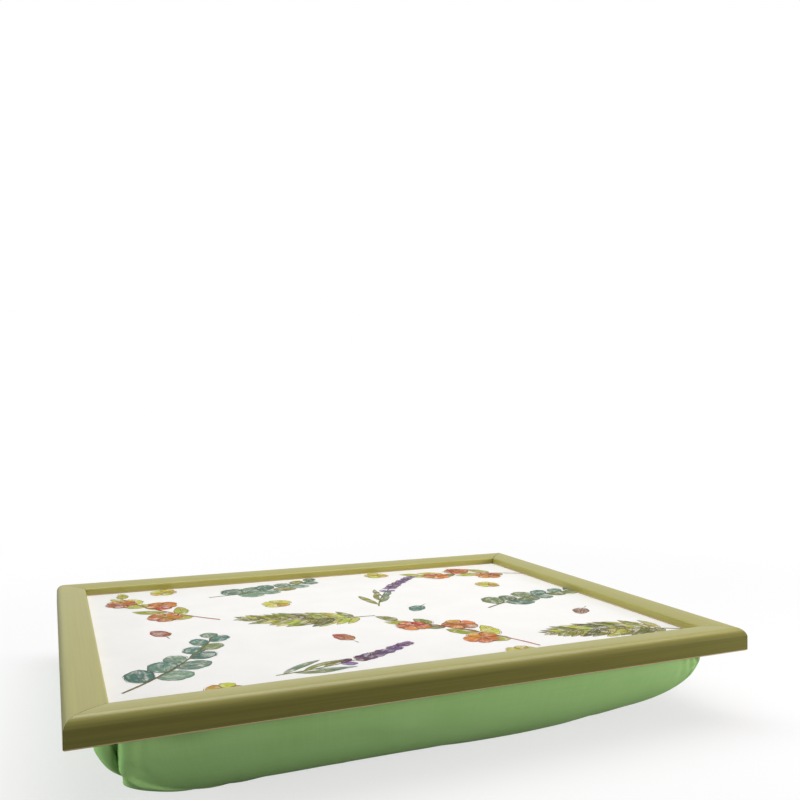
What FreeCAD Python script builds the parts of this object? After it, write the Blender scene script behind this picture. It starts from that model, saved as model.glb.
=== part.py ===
import FreeCAD, Part
import math
import os
from types import SimpleNamespace

import Sketcher

# Lap tray with a bean cushion. A mitred, rebated frame holds a printed tray board; a bead cushion,
# made up on a board of its own, is set into the same rebate from below.
# Millimetres, +Z up. The origin is under the middle of the tray, on the surface that the cushion stands on.

# Driving dimensions
SIZES = {
    "tray_length": (430.0, "outside length of the frame, along X"),
    "tray_depth": (330.0, "outside depth of the frame, along Y"),
    "rail_width": (22.0, "width of a rail, seen from above"),
    "rail_height": (15.0, "height of a rail at its crown"),
    "shoulder_radius": (6.0, "round on the outer top edge of a rail"),
    "crown_fall": (1.4, "fall of the rail's top from its crown to the inner round"),
    "nose_radius": (1.8, "round on the inner top edge of a rail"),
    "foot_bevel": (0.6, "bevel on the outer bottom edge of a rail"),
    "rebate_width": (7.0, "how far the lip covers what lies in the rebate"),
    "rebate_depth": (8.0, "height of the rebate above the underside of the frame"),
    "board_clearance": (0.5, "gap from the tray board's edge to the rebate wall"),
    "board_thickness": (3.0, "tray board"),
    "print_thickness": (0.3, "printed sheet bonded to the tray board"),
    "laminate_thickness": (0.2, "wipe-clean film over the print"),
    "base_thickness": (3.0, "board that the cushion is made up on"),
    "nail_offset": (4.0, "outer faces of the frame to the first V-nail of a corner"),
    "nail_pitch": (5.5, "first to second V-nail of a corner, along each rail"),
    "nail_leg": (5.0, "leg of a V-nail, in plan"),
    "nail_thickness": (0.5, "steel of a V-nail"),
    "nail_height": (8.0, "depth to which a V-nail is driven"),
    "point_width": (8.0, "width of a framer's point"),
    "point_grip": (8.0, "length of a framer's point in the rail"),
    "point_reach": (6.0, "length of a framer's point under the tray board"),
    "point_thickness": (0.5, "steel of a framer's point"),
    "point_margin": (60.0, "corner of the tray to the first framer's point of a side"),
    "long_point_count": (4, "framer's points on a long side"),
    "short_point_count": (3, "framer's points on a short side"),
    "staple_crown": (10.0, "width of a staple over its legs"),
    "staple_wire": (0.5, "thickness of the staple wire"),
    "staple_width": (0.7, "width of the flat staple wire"),
    "staple_grip": (2.4, "length of a staple leg in the base board"),
    "staple_inset": (10.0, "rebate wall to the line of staples"),
    "staple_margin": (45.0, "corner of the tray to the first staple of a side"),
    "long_staple_count": (7, "staples on a long side"),
    "short_staple_count": (5, "staples on a short side"),
    "steel_clearance": (0.05, "gap round steel that is driven into wood"),
    "cushion_drop": (45.0, "depth of the cushion below the frame"),
    "cover_thickness": (0.7, "cloth of the cushion cover"),
    "hem_width": (20.0, "hem of the cover on the upper side of the base board"),
    "liner_thickness": (0.5, "cloth of the bead bag"),
    "soft_clearance": (0.3, "gap between a soft piece and its neighbours"),
    "collar_corner_radius": (6.0, "corner of the cover where it leaves the frame"),
    "waist_corner_radius": (18.0, "corner of the cushion at its widest"),
    "floor_corner_radius": (60.0, "corner of the flat that the cushion stands on"),
    "bottom_radius": (26.0, "round between the sides and the underside of the cushion"),
    "side_bulge": (2.0, "swell of the cushion's sides beyond the rebate"),
    "collar_tuck": (1.0, "depth of each corner's tuck where the cover leaves the frame"),
    "waist_tuck": (3.0, "depth of each corner's tuck at the widest level"),
    "cut_overrun": (1.0, "how far a cut runs past the face that it opens"),
}

# The cushion's sides above its widest level, as shares: height up to the frame, swell, and corner and tuck
SIDE_LEVEL_SHARES = ((1.0, 0.0, 0.0), (0.5, 0.75, 0.6))
# Levels of the bottom round, as shares of its quarter turn from the widest level to the flat
BOTTOM_TURN_SHARES = (0.0, 0.3, 0.65, 1.0)

# Sides and corners of the tray, each a quarter turn on from the last, and the way to each from the middle
SIDES = ("front", "right", "back", "left")
SIDE_WAY_SHARES = ((0, -1), (1, 0), (0, 1), (-1, 0))
CORNERS = ("front_left", "front_right", "back_right", "back_left")
CORNER_WAY_SHARES = ((-1, -1), (1, -1), (1, 1), (-1, 1))
QUARTER_TURN = math.pi / 2
# Points of a plain corner, as shares of its quarter turn
PLAIN_CORNER_SHARES = (0, 0.25, 0.5, 0.75, 1)
# Growth of a plain corner's radius, per depth of tuck, that keeps it inside the tuck
TUCK_ROUND_SHARE = 1 + math.sqrt(2)
UP = FreeCAD.Vector(0, 0, 1)


class Size:
    """A size as a number and as the sheet expression that it comes from."""

    def __init__(self, value, text):
        self.value = value
        self.text = text

    @staticmethod
    def of(other):
        return other if isinstance(other, Size) else Size(other, str(other))

    def __add__(self, other):
        other = Size.of(other)
        return Size(self.value + other.value, f"({self.text} + {other.text})")

    def __sub__(self, other):
        other = Size.of(other)
        return Size(self.value - other.value, f"({self.text} - {other.text})")

    def __mul__(self, factor):
        return Size(self.value * factor, f"({self.text} * {factor})")

    def __truediv__(self, divisor):
        return Size(self.value / divisor, f"({self.text} / {divisor})")

    def __neg__(self):
        return self * -1

    __rmul__ = __mul__


def larger(first, second):
    """The larger of two sizes."""
    return Size(max(first.value, second.value), f"max({first.text}; {second.text})")


NONE = Size(0, "0")

doc = FreeCAD.newDocument("LapTray")
sheet = doc.addObject("Spreadsheet::Sheet", "Sizes")
size = SimpleNamespace()
for row, (alias, (number, note)) in enumerate(SIZES.items(), start=1):
    sheet.set(f"A{row}", alias)
    sheet.set(f"B{row}", str(number))
    sheet.setAlias(f"B{row}", alias)
    sheet.set(f"C{row}", note)
    setattr(size, alias, Size(number, f"Sizes.{alias}"))
doc.recompute()

# Sizes that follow from the driving ones. Heights in the frame are measured from its underside.
wall = size.rail_width - size.rebate_width
rebate_half_length = size.tray_length / 2 - wall
rebate_half_depth = size.tray_depth / 2 - wall
print_top = size.rebate_depth - size.laminate_thickness
board_top = print_top - size.print_thickness
board_bottom = board_top - size.board_thickness
hem_top = board_bottom - larger(size.point_thickness, size.staple_wire)
base_top = hem_top - size.cover_thickness
base_bottom = base_top - size.base_thickness
board_length = 2 * (rebate_half_length - size.board_clearance)
board_depth = 2 * (rebate_half_depth - size.board_clearance)
collar_half_length = rebate_half_length - size.soft_clearance
collar_half_depth = rebate_half_depth - size.soft_clearance
base_inset = size.cover_thickness + size.soft_clearance
base_half_length = collar_half_length - base_inset
base_half_depth = collar_half_depth - base_inset
staple_line = wall + size.staple_inset
staple_leg_centre = (size.staple_crown - size.staple_wire) / 2


def runs_long(side):
    """Whether a side runs along the tray's length."""
    return side in ("front", "back")


def run_of(side):
    """Outside length of a side."""
    return size.tray_length if runs_long(side) else size.tray_depth


def bind(thing, **sizes):
    """Bind properties to sizes; a double underscore in a name stands for a dot."""
    for name, value in sizes.items():
        thing.setExpression(name.replace("__", "."), value.text)


def put(thing, turns, x=NONE, y=NONE, z=NONE):
    """Turn a sub-part by quarter turns about Z and bind its place."""
    turn = FreeCAD.Rotation(UP, math.degrees(turns * QUARTER_TURN))
    thing.Placement = FreeCAD.Placement(FreeCAD.Vector(), turn)
    bind(thing, Placement__Base__x=x, Placement__Base__y=y, Placement__Base__z=z)


def put_on_side(thing, side):
    """Set a sub-part drawn along X, with +Y pointing into the tray, on one side of the frame."""
    turns = SIDES.index(side)
    out_x, out_y = SIDE_WAY_SHARES[turns]
    put(thing, turns, size.tray_length / 2 * out_x, size.tray_depth / 2 * out_y, size.cushion_drop)


def new_body(label):
    body = doc.addObject("PartDesign::Body", label)
    body.Label = label
    return body


def origin_feature(body, role):
    return next(feature for feature in body.Origin.OriginFeatures if feature.Role == role)


def new_sketch(body, name, plane, offset=NONE):
    """A sketch on one of the body's own planes, moved along the plane's normal."""
    sketch = body.newObject("Sketcher::SketchObject", f"{body.Name}_{name}")
    sketch.AttachmentSupport = [(origin_feature(body, plane), "")]
    sketch.MapMode = "FlatFace"
    bind(sketch, AttachmentOffset__Base__z=offset)
    return sketch


def pin_point(sketch, line, end, x, y):
    """Hold one end of a line at a bound place."""
    for kind, value in (("DistanceX", x), ("DistanceY", y)):
        index = sketch.addConstraint(Sketcher.Constraint(kind, line, end, value.value))
        sketch.setExpression(f"Constraints[{index}]", value.text)


def draw_outline(sketch, corners):
    """A closed outline of straight lines through bound corners."""
    places = [FreeCAD.Vector(x.value, y.value, 0) for x, y in corners]
    lines = [
        sketch.addGeometry(Part.LineSegment(start, end), False)
        for start, end in zip(places, places[1:] + places[:1])
    ]
    for line, following in zip(lines, lines[1:] + lines[:1]):
        sketch.addConstraint(Sketcher.Constraint("Coincident", line, 2, following, 1))
    for line, (x, y) in zip(lines, corners):
        pin_point(sketch, line, 1, x, y)


def draw_rectangle(sketch, left, bottom, right, top):
    draw_outline(sketch, [(left, bottom), (right, bottom), (right, top), (left, top)])


def pad(body, sketch, length, symmetric=False):
    feature = body.newObject("PartDesign::Pad", f"{sketch.Name}_pad")
    feature.Profile = sketch
    feature.SideType = "Symmetric" if symmetric else "One side"
    bind(feature, Length=length)
    return feature


def pocket(body, sketch, depth, upward):
    feature = body.newObject("PartDesign::Pocket", f"{sketch.Name}_pocket")
    feature.Profile = sketch
    feature.Reversed = upward
    bind(feature, Length=depth)
    return feature


def repeat_along(body, feature, axis, length, count):
    """Repeat a feature along one of the body's axes."""
    pattern = body.newObject("PartDesign::LinearPattern", f"{feature.Name}_row")
    pattern.Originals = [feature]
    pattern.Direction = (origin_feature(body, axis), [""])
    bind(pattern, Length=length, Occurrences=count)
    body.Tip = pattern
    return pattern


# Frame rails
def draw_rail_section(sketch):
    """Section of the moulding: outer face at 0, rebate at the inner bottom, crowned top."""
    width = size.rail_width.value
    height = size.rail_height.value
    shoulder = size.shoulder_radius.value
    nose = size.nose_radius.value
    fall = size.crown_fall.value
    crown_run = width - nose - shoulder
    crown_radius = (crown_run**2 + fall**2) / (2 * fall)
    slope = math.asin(crown_run / crown_radius)
    nose_height = height - fall - nose * math.cos(slope)
    pinned = [
        (size.foot_bevel, NONE),
        (wall, NONE),
        (wall, size.rebate_depth),
        (size.rail_width, size.rebate_depth),
    ]
    places = [FreeCAD.Vector(x.value, y.value, 0) for x, y in pinned]
    places.append(FreeCAD.Vector(width, nose_height, 0))
    underside, rebate_wall, shelf, lip = (
        sketch.addGeometry(Part.LineSegment(start, end), False) for start, end in zip(places, places[1:])
    )

    def arc(centre_x, centre_y, radius, start, end):
        circle = Part.Circle(FreeCAD.Vector(centre_x, centre_y, 0), UP, radius)
        return sketch.addGeometry(Part.ArcOfCircle(circle, start, end), False)

    nose_arc = arc(width - nose, nose_height, nose, 0, QUARTER_TURN - slope)
    crown_arc = arc(shoulder, height - crown_radius, crown_radius, QUARTER_TURN - slope, QUARTER_TURN)
    shoulder_arc = arc(shoulder, height - shoulder, shoulder, QUARTER_TURN, 2 * QUARTER_TURN)
    outer_top = FreeCAD.Vector(0, height - shoulder, 0)
    outer_foot = FreeCAD.Vector(0, size.foot_bevel.value, 0)
    outer_face = sketch.addGeometry(Part.LineSegment(outer_top, outer_foot), False)
    bevel = sketch.addGeometry(Part.LineSegment(outer_foot, places[0]), False)
    for first, second in ((underside, rebate_wall), (rebate_wall, shelf), (shelf, lip), (outer_face, bevel),
                          (bevel, underside)):
        sketch.addConstraint(Sketcher.Constraint("Coincident", first, 2, second, 1))
    for first, second in ((lip, nose_arc), (nose_arc, crown_arc), (crown_arc, shoulder_arc),
                          (shoulder_arc, outer_face)):
        sketch.addConstraint(Sketcher.Constraint("Tangent", first, 2, second, 1))
    for line, (x, y) in zip((underside, rebate_wall, shelf, lip), pinned):
        pin_point(sketch, line, 1, x, y)
    pin_point(sketch, bevel, 1, NONE, size.foot_bevel)
    for line in (lip, outer_face):
        sketch.addConstraint(Sketcher.Constraint("Vertical", line))
    for line, radius in ((nose_arc, size.nose_radius), (shoulder_arc, size.shoulder_radius)):
        index = sketch.addConstraint(Sketcher.Constraint("Radius", line, radius.value))
        sketch.setExpression(f"Constraints[{index}]", radius.text)
    for line, level in ((shoulder_arc, size.rail_height), (crown_arc, size.rail_height - size.crown_fall)):
        index = sketch.addConstraint(Sketcher.Constraint("DistanceY", line, 1, level.value))
        sketch.setExpression(f"Constraints[{index}]", level.text)
    sketch.addConstraint(Sketcher.Constraint("Vertical", shoulder_arc, 1, shoulder_arc, 3))


def draw_point(sketch, side, margin):
    """The first framer's point of a side: a blade with its tip in the rail, grown by a margin."""
    half = size.point_width / 2 + margin
    inner_end = wall + size.point_reach + margin
    tip = wall - size.point_grip - margin
    middle = size.point_margin - run_of(side) / 2
    draw_outline(sketch, [
        (middle, tip),
        (middle + half, wall),
        (middle + half, inner_end),
        (middle - half, inner_end),
        (middle - half, wall),
    ])


def repeat_points(body, feature, side):
    count = size.long_point_count if runs_long(side) else size.short_point_count
    return repeat_along(body, feature, "X_Axis", run_of(side) - 2 * size.point_margin, count)


def make_rail(side):
    """One mitred rail, with the slots that its corner nails and framer's points are driven into."""
    body = new_body(f"{side}_rail")
    section = new_sketch(body, "section", "YZ_Plane")
    draw_rail_section(section)
    pad(body, section, run_of(side), symmetric=True)

    end = run_of(side) / 2
    past_inner = size.rail_width + size.cut_overrun
    mitre = new_sketch(body, "mitre", "XY_Plane", -size.cut_overrun)
    draw_outline(mitre, [
        (end + size.cut_overrun, -size.cut_overrun),
        (end + size.cut_overrun, past_inner),
        (end - past_inner, past_inner),
    ])
    mitre_cut = pocket(body, mitre, size.rail_height + 2 * size.cut_overrun, upward=True)

    slots = new_sketch(body, "nail_slots", "XY_Plane")
    for place in (size.nail_offset, size.nail_offset + size.nail_pitch):
        draw_rectangle(
            slots,
            end - place - size.nail_leg - size.steel_clearance,
            place - size.steel_clearance,
            end - place + size.steel_clearance,
            place + size.nail_thickness + size.steel_clearance,
        )
    slot_cut = pocket(body, slots, size.nail_height + size.steel_clearance, upward=True)

    other_end = body.newObject("PartDesign::Mirrored", f"{body.Name}_other_end")
    other_end.Originals = [mitre_cut, slot_cut]
    other_end.MirrorPlane = (origin_feature(body, "YZ_Plane"), [""])
    body.Tip = other_end

    slot_bottom = board_bottom - size.point_thickness - size.steel_clearance
    slot = new_sketch(body, "point_slot", "XY_Plane", slot_bottom)
    draw_point(slot, side, size.steel_clearance)
    point_cut = pocket(body, slot, size.point_thickness + 2 * size.steel_clearance, upward=True)
    repeat_points(body, point_cut, side)
    put_on_side(body, side)
    return body


def make_corner_nails(corner):
    """Two V-nails across a mitre, flush with the underside of the frame."""
    body = new_body(f"{corner}_corner_nails")
    sketch = new_sketch(body, "plan", "XY_Plane")
    for near in (size.nail_offset, size.nail_offset + size.nail_pitch):
        inside = near + size.nail_thickness
        far = near + size.nail_leg
        draw_outline(sketch, [
            (near, near),
            (far, near),
            (far, inside),
            (inside, inside),
            (inside, far),
            (near, far),
        ])
    pad(body, sketch, size.nail_height)
    turns = CORNERS.index(corner)
    out_x, out_y = CORNER_WAY_SHARES[turns]
    put(body, turns, size.tray_length / 2 * out_x, size.tray_depth / 2 * out_y, size.cushion_drop)
    return body


def make_board_points(side):
    """The framer's points of one side, lying flat under the tray board."""
    body = new_body(f"{side}_board_points")
    sketch = new_sketch(body, "blade", "XY_Plane", board_bottom - size.point_thickness)
    draw_point(sketch, side, NONE)
    blade = pad(body, sketch, size.point_thickness)
    repeat_points(body, blade, side)
    put_on_side(body, side)
    return body


# Tray floor and the board of the cushion
def make_panel(label, bottom, thickness):
    """A flat panel as large as the tray board."""
    panel = doc.addObject("Part::Box", label)
    panel.Label = label
    bind(panel, Length=board_length, Width=board_depth, Height=thickness)
    put(panel, 0, -board_length / 2, -board_depth / 2, size.cushion_drop + bottom)
    return panel


def repeat_staples(body, feature, side, axis):
    count = size.long_staple_count if runs_long(side) else size.short_staple_count
    return repeat_along(body, feature, axis, run_of(side) - 2 * size.staple_margin, count)


def make_base_board():
    """The cushion's board, with rounded corners and the holes that the staples make in it."""
    body = new_body("base_board")
    outline = new_sketch(body, "outline", "XY_Plane")
    draw_rectangle(outline, -base_half_length, -base_half_depth, base_half_length, base_half_depth)
    slab = pad(body, outline, size.base_thickness)
    doc.recompute()
    upright = [
        f"Edge{number}"
        for number, edge in enumerate(slab.Shape.Edges, start=1)
        if abs(edge.tangentAt(edge.FirstParameter).z) > 1 / 2
    ]
    corners = body.newObject("PartDesign::Fillet", "base_board_corners")
    corners.Base = (slab, upright)
    bind(corners, Radius=size.collar_corner_radius + size.collar_tuck * TUCK_ROUND_SHARE - base_inset)

    leg_half = size.staple_wire / 2 + size.steel_clearance
    width_half = size.staple_width / 2 + size.steel_clearance
    for side, axis in (("front", "X_Axis"), ("right", "Y_Axis")):
        holes = new_sketch(body, f"{side}_staple_holes", "XY_Plane", size.base_thickness)
        middle = size.staple_margin - run_of(side) / 2
        across = (size.tray_depth if runs_long(side) else size.tray_length) / 2 - staple_line
        for row in (-across, across):
            for leg in (middle - staple_leg_centre, middle + staple_leg_centre):
                along, over = (leg_half, width_half) if runs_long(side) else (width_half, leg_half)
                x, y = (leg, row) if runs_long(side) else (row, leg)
                draw_rectangle(holes, x - along, y - over, x + along, y + over)
        hole_cut = pocket(body, holes, size.staple_grip + size.steel_clearance, upward=False)
        repeat_staples(body, hole_cut, side, axis)
    put(body, 0, z=size.cushion_drop + base_bottom)
    return body


def make_hem_staples(side):
    """The staples of one side, with their crowns on the hem and their legs in the base board."""
    body = new_body(f"{side}_hem_staples")
    sketch = new_sketch(body, "staple", "XZ_Plane", -staple_line)
    middle = size.staple_margin - run_of(side) / 2
    outer = size.staple_crown / 2
    inner = outer - size.staple_wire
    top = hem_top + size.staple_wire
    foot = base_top - size.staple_grip
    draw_outline(sketch, [
        (middle - outer, foot),
        (middle - inner, foot),
        (middle - inner, hem_top),
        (middle + inner, hem_top),
        (middle + inner, foot),
        (middle + outer, foot),
        (middle + outer, top),
        (middle - outer, top),
    ])
    staple = pad(body, sketch, size.staple_width, symmetric=True)
    repeat_staples(body, staple, side, "X_Axis")
    put_on_side(body, side)
    return body


# Cushion. Its forms are lofts through level outlines of lines and arcs, one inside the other.
def level_outline(height, swell, radius, tuck, tucked):
    """Outline of the cushion at a height: straight sides, and corners with a tuck or faceted to clear it."""
    if not tucked:
        radius += tuck * TUCK_ROUND_SHARE
    side_x = collar_half_length.value + swell - radius
    side_y = collar_half_depth.value + swell - radius

    def corner(index, turn_share, distance):
        """A point seen from a corner's centre, at a share of the quarter turn round that corner."""
        way_x, way_y = CORNER_WAY_SHARES[index]
        angle = (index + 2 + turn_share) * QUARTER_TURN
        return FreeCAD.Vector(
            way_x * side_x + distance * math.cos(angle), way_y * side_y + distance * math.sin(angle), height
        )

    edges = []
    for index in range(len(CORNERS)):
        start = corner(index, 0, radius)
        end = corner(index, 1, radius)
        following = corner((index + 1) % len(CORNERS), 0, radius)
        if tucked:
            fold = corner(index, 1 / 2, radius - tuck)
            edges.append(Part.Arc(start, corner(index, 1 / 4, radius), fold).toShape())
            edges.append(Part.Arc(fold, corner(index, 3 / 4, radius), end).toShape())
        else:
            points = [corner(index, share, radius) for share in PLAIN_CORNER_SHARES]
            edges += [Part.LineSegment(*pair).toShape() for pair in zip(points, points[1:])]
        edges.append(Part.LineSegment(end, following).toShape())
    return Part.Wire(edges)


def bag_levels(inward, tucked):
    """Outlines of the bag from the frame down to its flat, moved inward from its outer face."""
    drop = size.cushion_drop.value
    bottom = size.bottom_radius.value
    bulge = size.side_bulge.value
    collar = size.collar_corner_radius.value
    waist = size.waist_corner_radius.value
    collar_tuck = size.collar_tuck.value
    waist_tuck = size.waist_tuck.value
    outlines = []
    for height_share, swell_share, corner_share in SIDE_LEVEL_SHARES:
        outlines.append(level_outline(
            bottom + (drop - bottom) * height_share,
            bulge * swell_share - inward,
            collar + (waist - collar) * corner_share - inward,
            collar_tuck + (waist_tuck - collar_tuck) * corner_share,
            tucked,
        ))
    for turn_share in BOTTOM_TURN_SHARES:
        out_share = math.cos(turn_share * QUARTER_TURN)
        outlines.append(level_outline(
            bottom - (bottom - inward) * math.sin(turn_share * QUARTER_TURN),
            bulge - bottom + (bottom - inward) * out_share,
            waist + (size.floor_corner_radius.value - waist) * (1 - out_share) - inward * out_share,
            waist_tuck * out_share,
            tucked,
        ))
    return outlines


def slice_between(form, low, high):
    """The part of a form between two heights."""
    length = size.tray_length.value
    depth = size.tray_depth.value
    box = Part.makeBox(length, depth, high - low, FreeCAD.Vector(-length / 2, -depth / 2, low))
    return form.common(box)


def bag_form(inward, top, tucked=False):
    """The bag as a solid, moved inward from its outer face, up to a height at the frame."""
    outlines = bag_levels(inward, tucked)
    bag = Part.makeLoft(outlines, True, True)
    if top > size.cushion_drop.value:
        collar = Part.Face(outlines[0]).extrude(UP * (top - size.cushion_drop.value))
        return bag.fuse(collar)
    return slice_between(bag, inward, top)


def make_soft(label, shape):
    """A soft piece with a shape worked out above."""
    piece = doc.addObject("Part::Feature", label)
    piece.Label = label
    if len(shape.Solids) != 1:
        raise RuntimeError(f"{label} is {len(shape.Solids)} solids")
    piece.Shape = shape.Solids[0]
    return piece


def hem_openings():
    """What the cover's hem leaves out: the middle, and the holes that the staples make."""
    hem = size.hem_width.value
    overrun = size.cut_overrun.value
    low = size.cushion_drop.value + base_top.value - overrun
    height = size.cover_thickness.value + 2 * overrun
    half_length = base_half_length.value - hem
    half_depth = base_half_depth.value - hem
    middle_corner = FreeCAD.Vector(-half_length, -half_depth, low)
    openings = [Part.makeBox(2 * half_length, 2 * half_depth, height, middle_corner)]
    leg = size.staple_wire.value + 2 * size.steel_clearance.value
    width = size.staple_width.value + 2 * size.steel_clearance.value
    for turns, side in enumerate(SIDES):
        count = (size.long_staple_count if runs_long(side) else size.short_staple_count).value
        across = (size.tray_depth if runs_long(side) else size.tray_length).value / 2 - staple_line.value
        first = size.staple_margin.value - run_of(side).value / 2
        for number in range(count):
            middle = first * (1 - 2 * number / (count - 1))
            for place in (middle - staple_leg_centre.value, middle + staple_leg_centre.value):
                hole_corner = FreeCAD.Vector(place - leg / 2, -across - width / 2, low)
                hole = Part.makeBox(leg, width, height, hole_corner)
                openings.append(hole.rotate(FreeCAD.Vector(), UP, math.degrees(turns * QUARTER_TURN)))
    return openings


def make_cushion():
    """The cover with its hem, the bead bag inside it and the beads."""
    drop = size.cushion_drop.value
    cloth = size.cover_thickness.value
    gap = size.soft_clearance.value
    liner = size.liner_thickness.value
    panel_top = drop + base_bottom.value - gap
    panel_bottom = panel_top - liner
    cover = bag_form(0, drop + hem_top.value, tucked=True)
    cover = cover.cut(bag_form(cloth, drop + base_top.value)).cut(hem_openings())
    pouch = bag_form(cloth + gap, panel_bottom).cut(bag_form(cloth + gap + liner, panel_top))
    panel = slice_between(bag_form(cloth + gap, panel_top), panel_bottom, panel_top)
    return [
        make_soft("cushion_cover", cover),
        make_soft("liner_pouch", pouch),
        make_soft("liner_panel", panel),
        make_soft("bead_filling", bag_form(cloth + liner + 2 * gap, panel_bottom - gap)),
    ]


sub_parts = [make_rail(side) for side in SIDES]
sub_parts += [make_corner_nails(corner) for corner in CORNERS]
sub_parts += [make_board_points(side) for side in SIDES]
sub_parts.append(make_panel("tray_board", board_bottom, size.board_thickness))
sub_parts.append(make_panel("printed_sheet", board_top, size.print_thickness))
sub_parts.append(make_panel("clear_laminate", print_top, size.laminate_thickness))
sub_parts.append(make_base_board())
sub_parts += [make_hem_staples(side) for side in SIDES]
sub_parts += make_cushion()
doc.recompute()

for thing in doc.Objects:
    if "Invalid" in thing.State or "Error" in thing.State:
        raise RuntimeError(f"{thing.Label} did not build: {thing.State}")
    if thing.TypeId == "PartDesign::Pocket" and not thing.Shape.Volume < thing.BaseFeature.Shape.Volume:
        raise RuntimeError(f"{thing.Label} cuts nothing")
for part in sub_parts:
    if part.Shape.isNull() or not part.Shape.isValid():
        raise RuntimeError(f"{part.Label} has no valid shape")

os.makedirs("parts", exist_ok=True)
for part in sub_parts:
    part.Shape.exportStep(f"parts/{part.Label}.step")
    print(part.Label, len(part.Shape.Solids), round(part.Shape.Volume, 1))
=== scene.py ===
import logging
import math
from dataclasses import dataclass, field
from enum import Enum
from typing import Any, Optional, Sequence, Union

import bpy
import numpy as np
from mathutils import Matrix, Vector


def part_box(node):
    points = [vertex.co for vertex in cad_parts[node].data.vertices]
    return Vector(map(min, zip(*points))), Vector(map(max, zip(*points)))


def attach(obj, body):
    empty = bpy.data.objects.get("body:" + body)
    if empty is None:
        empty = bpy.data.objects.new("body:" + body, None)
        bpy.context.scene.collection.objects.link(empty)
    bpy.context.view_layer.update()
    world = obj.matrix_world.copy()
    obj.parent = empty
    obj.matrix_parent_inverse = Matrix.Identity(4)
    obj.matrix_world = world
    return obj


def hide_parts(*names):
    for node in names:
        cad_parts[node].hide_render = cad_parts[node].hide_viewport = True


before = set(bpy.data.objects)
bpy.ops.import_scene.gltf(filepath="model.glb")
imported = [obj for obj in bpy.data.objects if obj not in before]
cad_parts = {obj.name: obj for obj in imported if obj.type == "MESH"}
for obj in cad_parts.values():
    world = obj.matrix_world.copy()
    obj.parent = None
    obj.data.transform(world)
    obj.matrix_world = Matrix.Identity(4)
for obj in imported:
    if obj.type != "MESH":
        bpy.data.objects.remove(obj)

# Lap tray with a bean cushion: a mitred frame of painted moulding, a laminated botanical print and
# a bead cushion in plain-woven cloth. Metres, +Z up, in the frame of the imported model.

LOG = logging.getLogger("lap_tray")
MM = 0.001
ROOT = "root"
Array = np.ndarray
Piece = bpy.types.Object
Colour = tuple[float, float, float, float]
Value = Union["Socket", float]
Stem = tuple[Array, Array, Array]
PEN = 0.16 * MM


def swatch(red: int, green: int, blue: int) -> Colour:
    """Linear colour of a paint swatch that is given in display values.

    Args:
        red: Red, from 0 to 255.
        green: Green, from 0 to 255.
        blue: Blue, from 0 to 255.

    Returns:
        The colour with an alpha of 1.
    """
    share = np.array([red, green, blue]) / 255
    linear = np.where(share <= 0.04045, share / 12.92, ((share + 0.055) / 1.055) ** 2.4)
    return (*linear.tolist(), 1.0)


def smooth_step(low: float, high: float, value: Array) -> Array:
    """Rise from 0 to 1 between low and high, as 3t² - 2t³; with high below low, a fall."""
    t = np.clip((value - low) / (high - low), 0, 1)
    return t * t * (3 - 2 * t)


class Socket:
    """A shader output that takes part in Python arithmetic by adding Math nodes."""

    def __init__(self, shader: "Shader", socket: bpy.types.NodeSocket) -> None:
        """Wrap an output of a node in a shader's tree."""
        self.shader = shader
        self.socket = socket

    def sibling(self, name: str) -> "Socket":
        """Another output of the same node."""
        return Socket(self.shader, self.socket.node.outputs[name])

    def math(self, operation: str, first: Value, second: Value = 0.0) -> "Socket":
        """Result of a Math node on two values."""
        return self.shader.node("ShaderNodeMath", {0: first, 1: second}, operation=operation)

    def __add__(self, other: Value) -> "Socket":
        """Sum."""
        return self.math("ADD", self, other)

    def __sub__(self, other: Value) -> "Socket":
        """Difference."""
        return self.math("SUBTRACT", self, other)

    def __mul__(self, other: Value) -> "Socket":
        """Product."""
        return self.math("MULTIPLY", self, other)

    def __abs__(self) -> "Socket":
        """Magnitude."""
        return self.math("ABSOLUTE", self)

    __radd__ = __add__
    __rmul__ = __mul__

    def sine(self) -> "Socket":
        """Sine of an angle in radians."""
        return self.math("SINE", self)

    def larger(self, other: Value) -> "Socket":
        """The larger of two values."""
        return self.math("MAXIMUM", self, other)

    def rise(self, low: float, high: float, start: float = 0.0, end: float = 1.0) -> "Socket":
        """Smooth change from one result to another as the value goes from low to high.

        Args:
            low: Value at the start; it may be above high, for a fall.
            high: Value at the end.
            start: Result up to low.
            end: Result from high on.

        Returns:
            The result between start and end.
        """
        if low > high:
            low, high, start, end = high, low, end, start
        values = {"Value": self, "From Min": low, "From Max": high, "To Min": start, "To Max": end}
        return self.shader.node("ShaderNodeMapRange", values, interpolation_type="SMOOTHSTEP")


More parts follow.
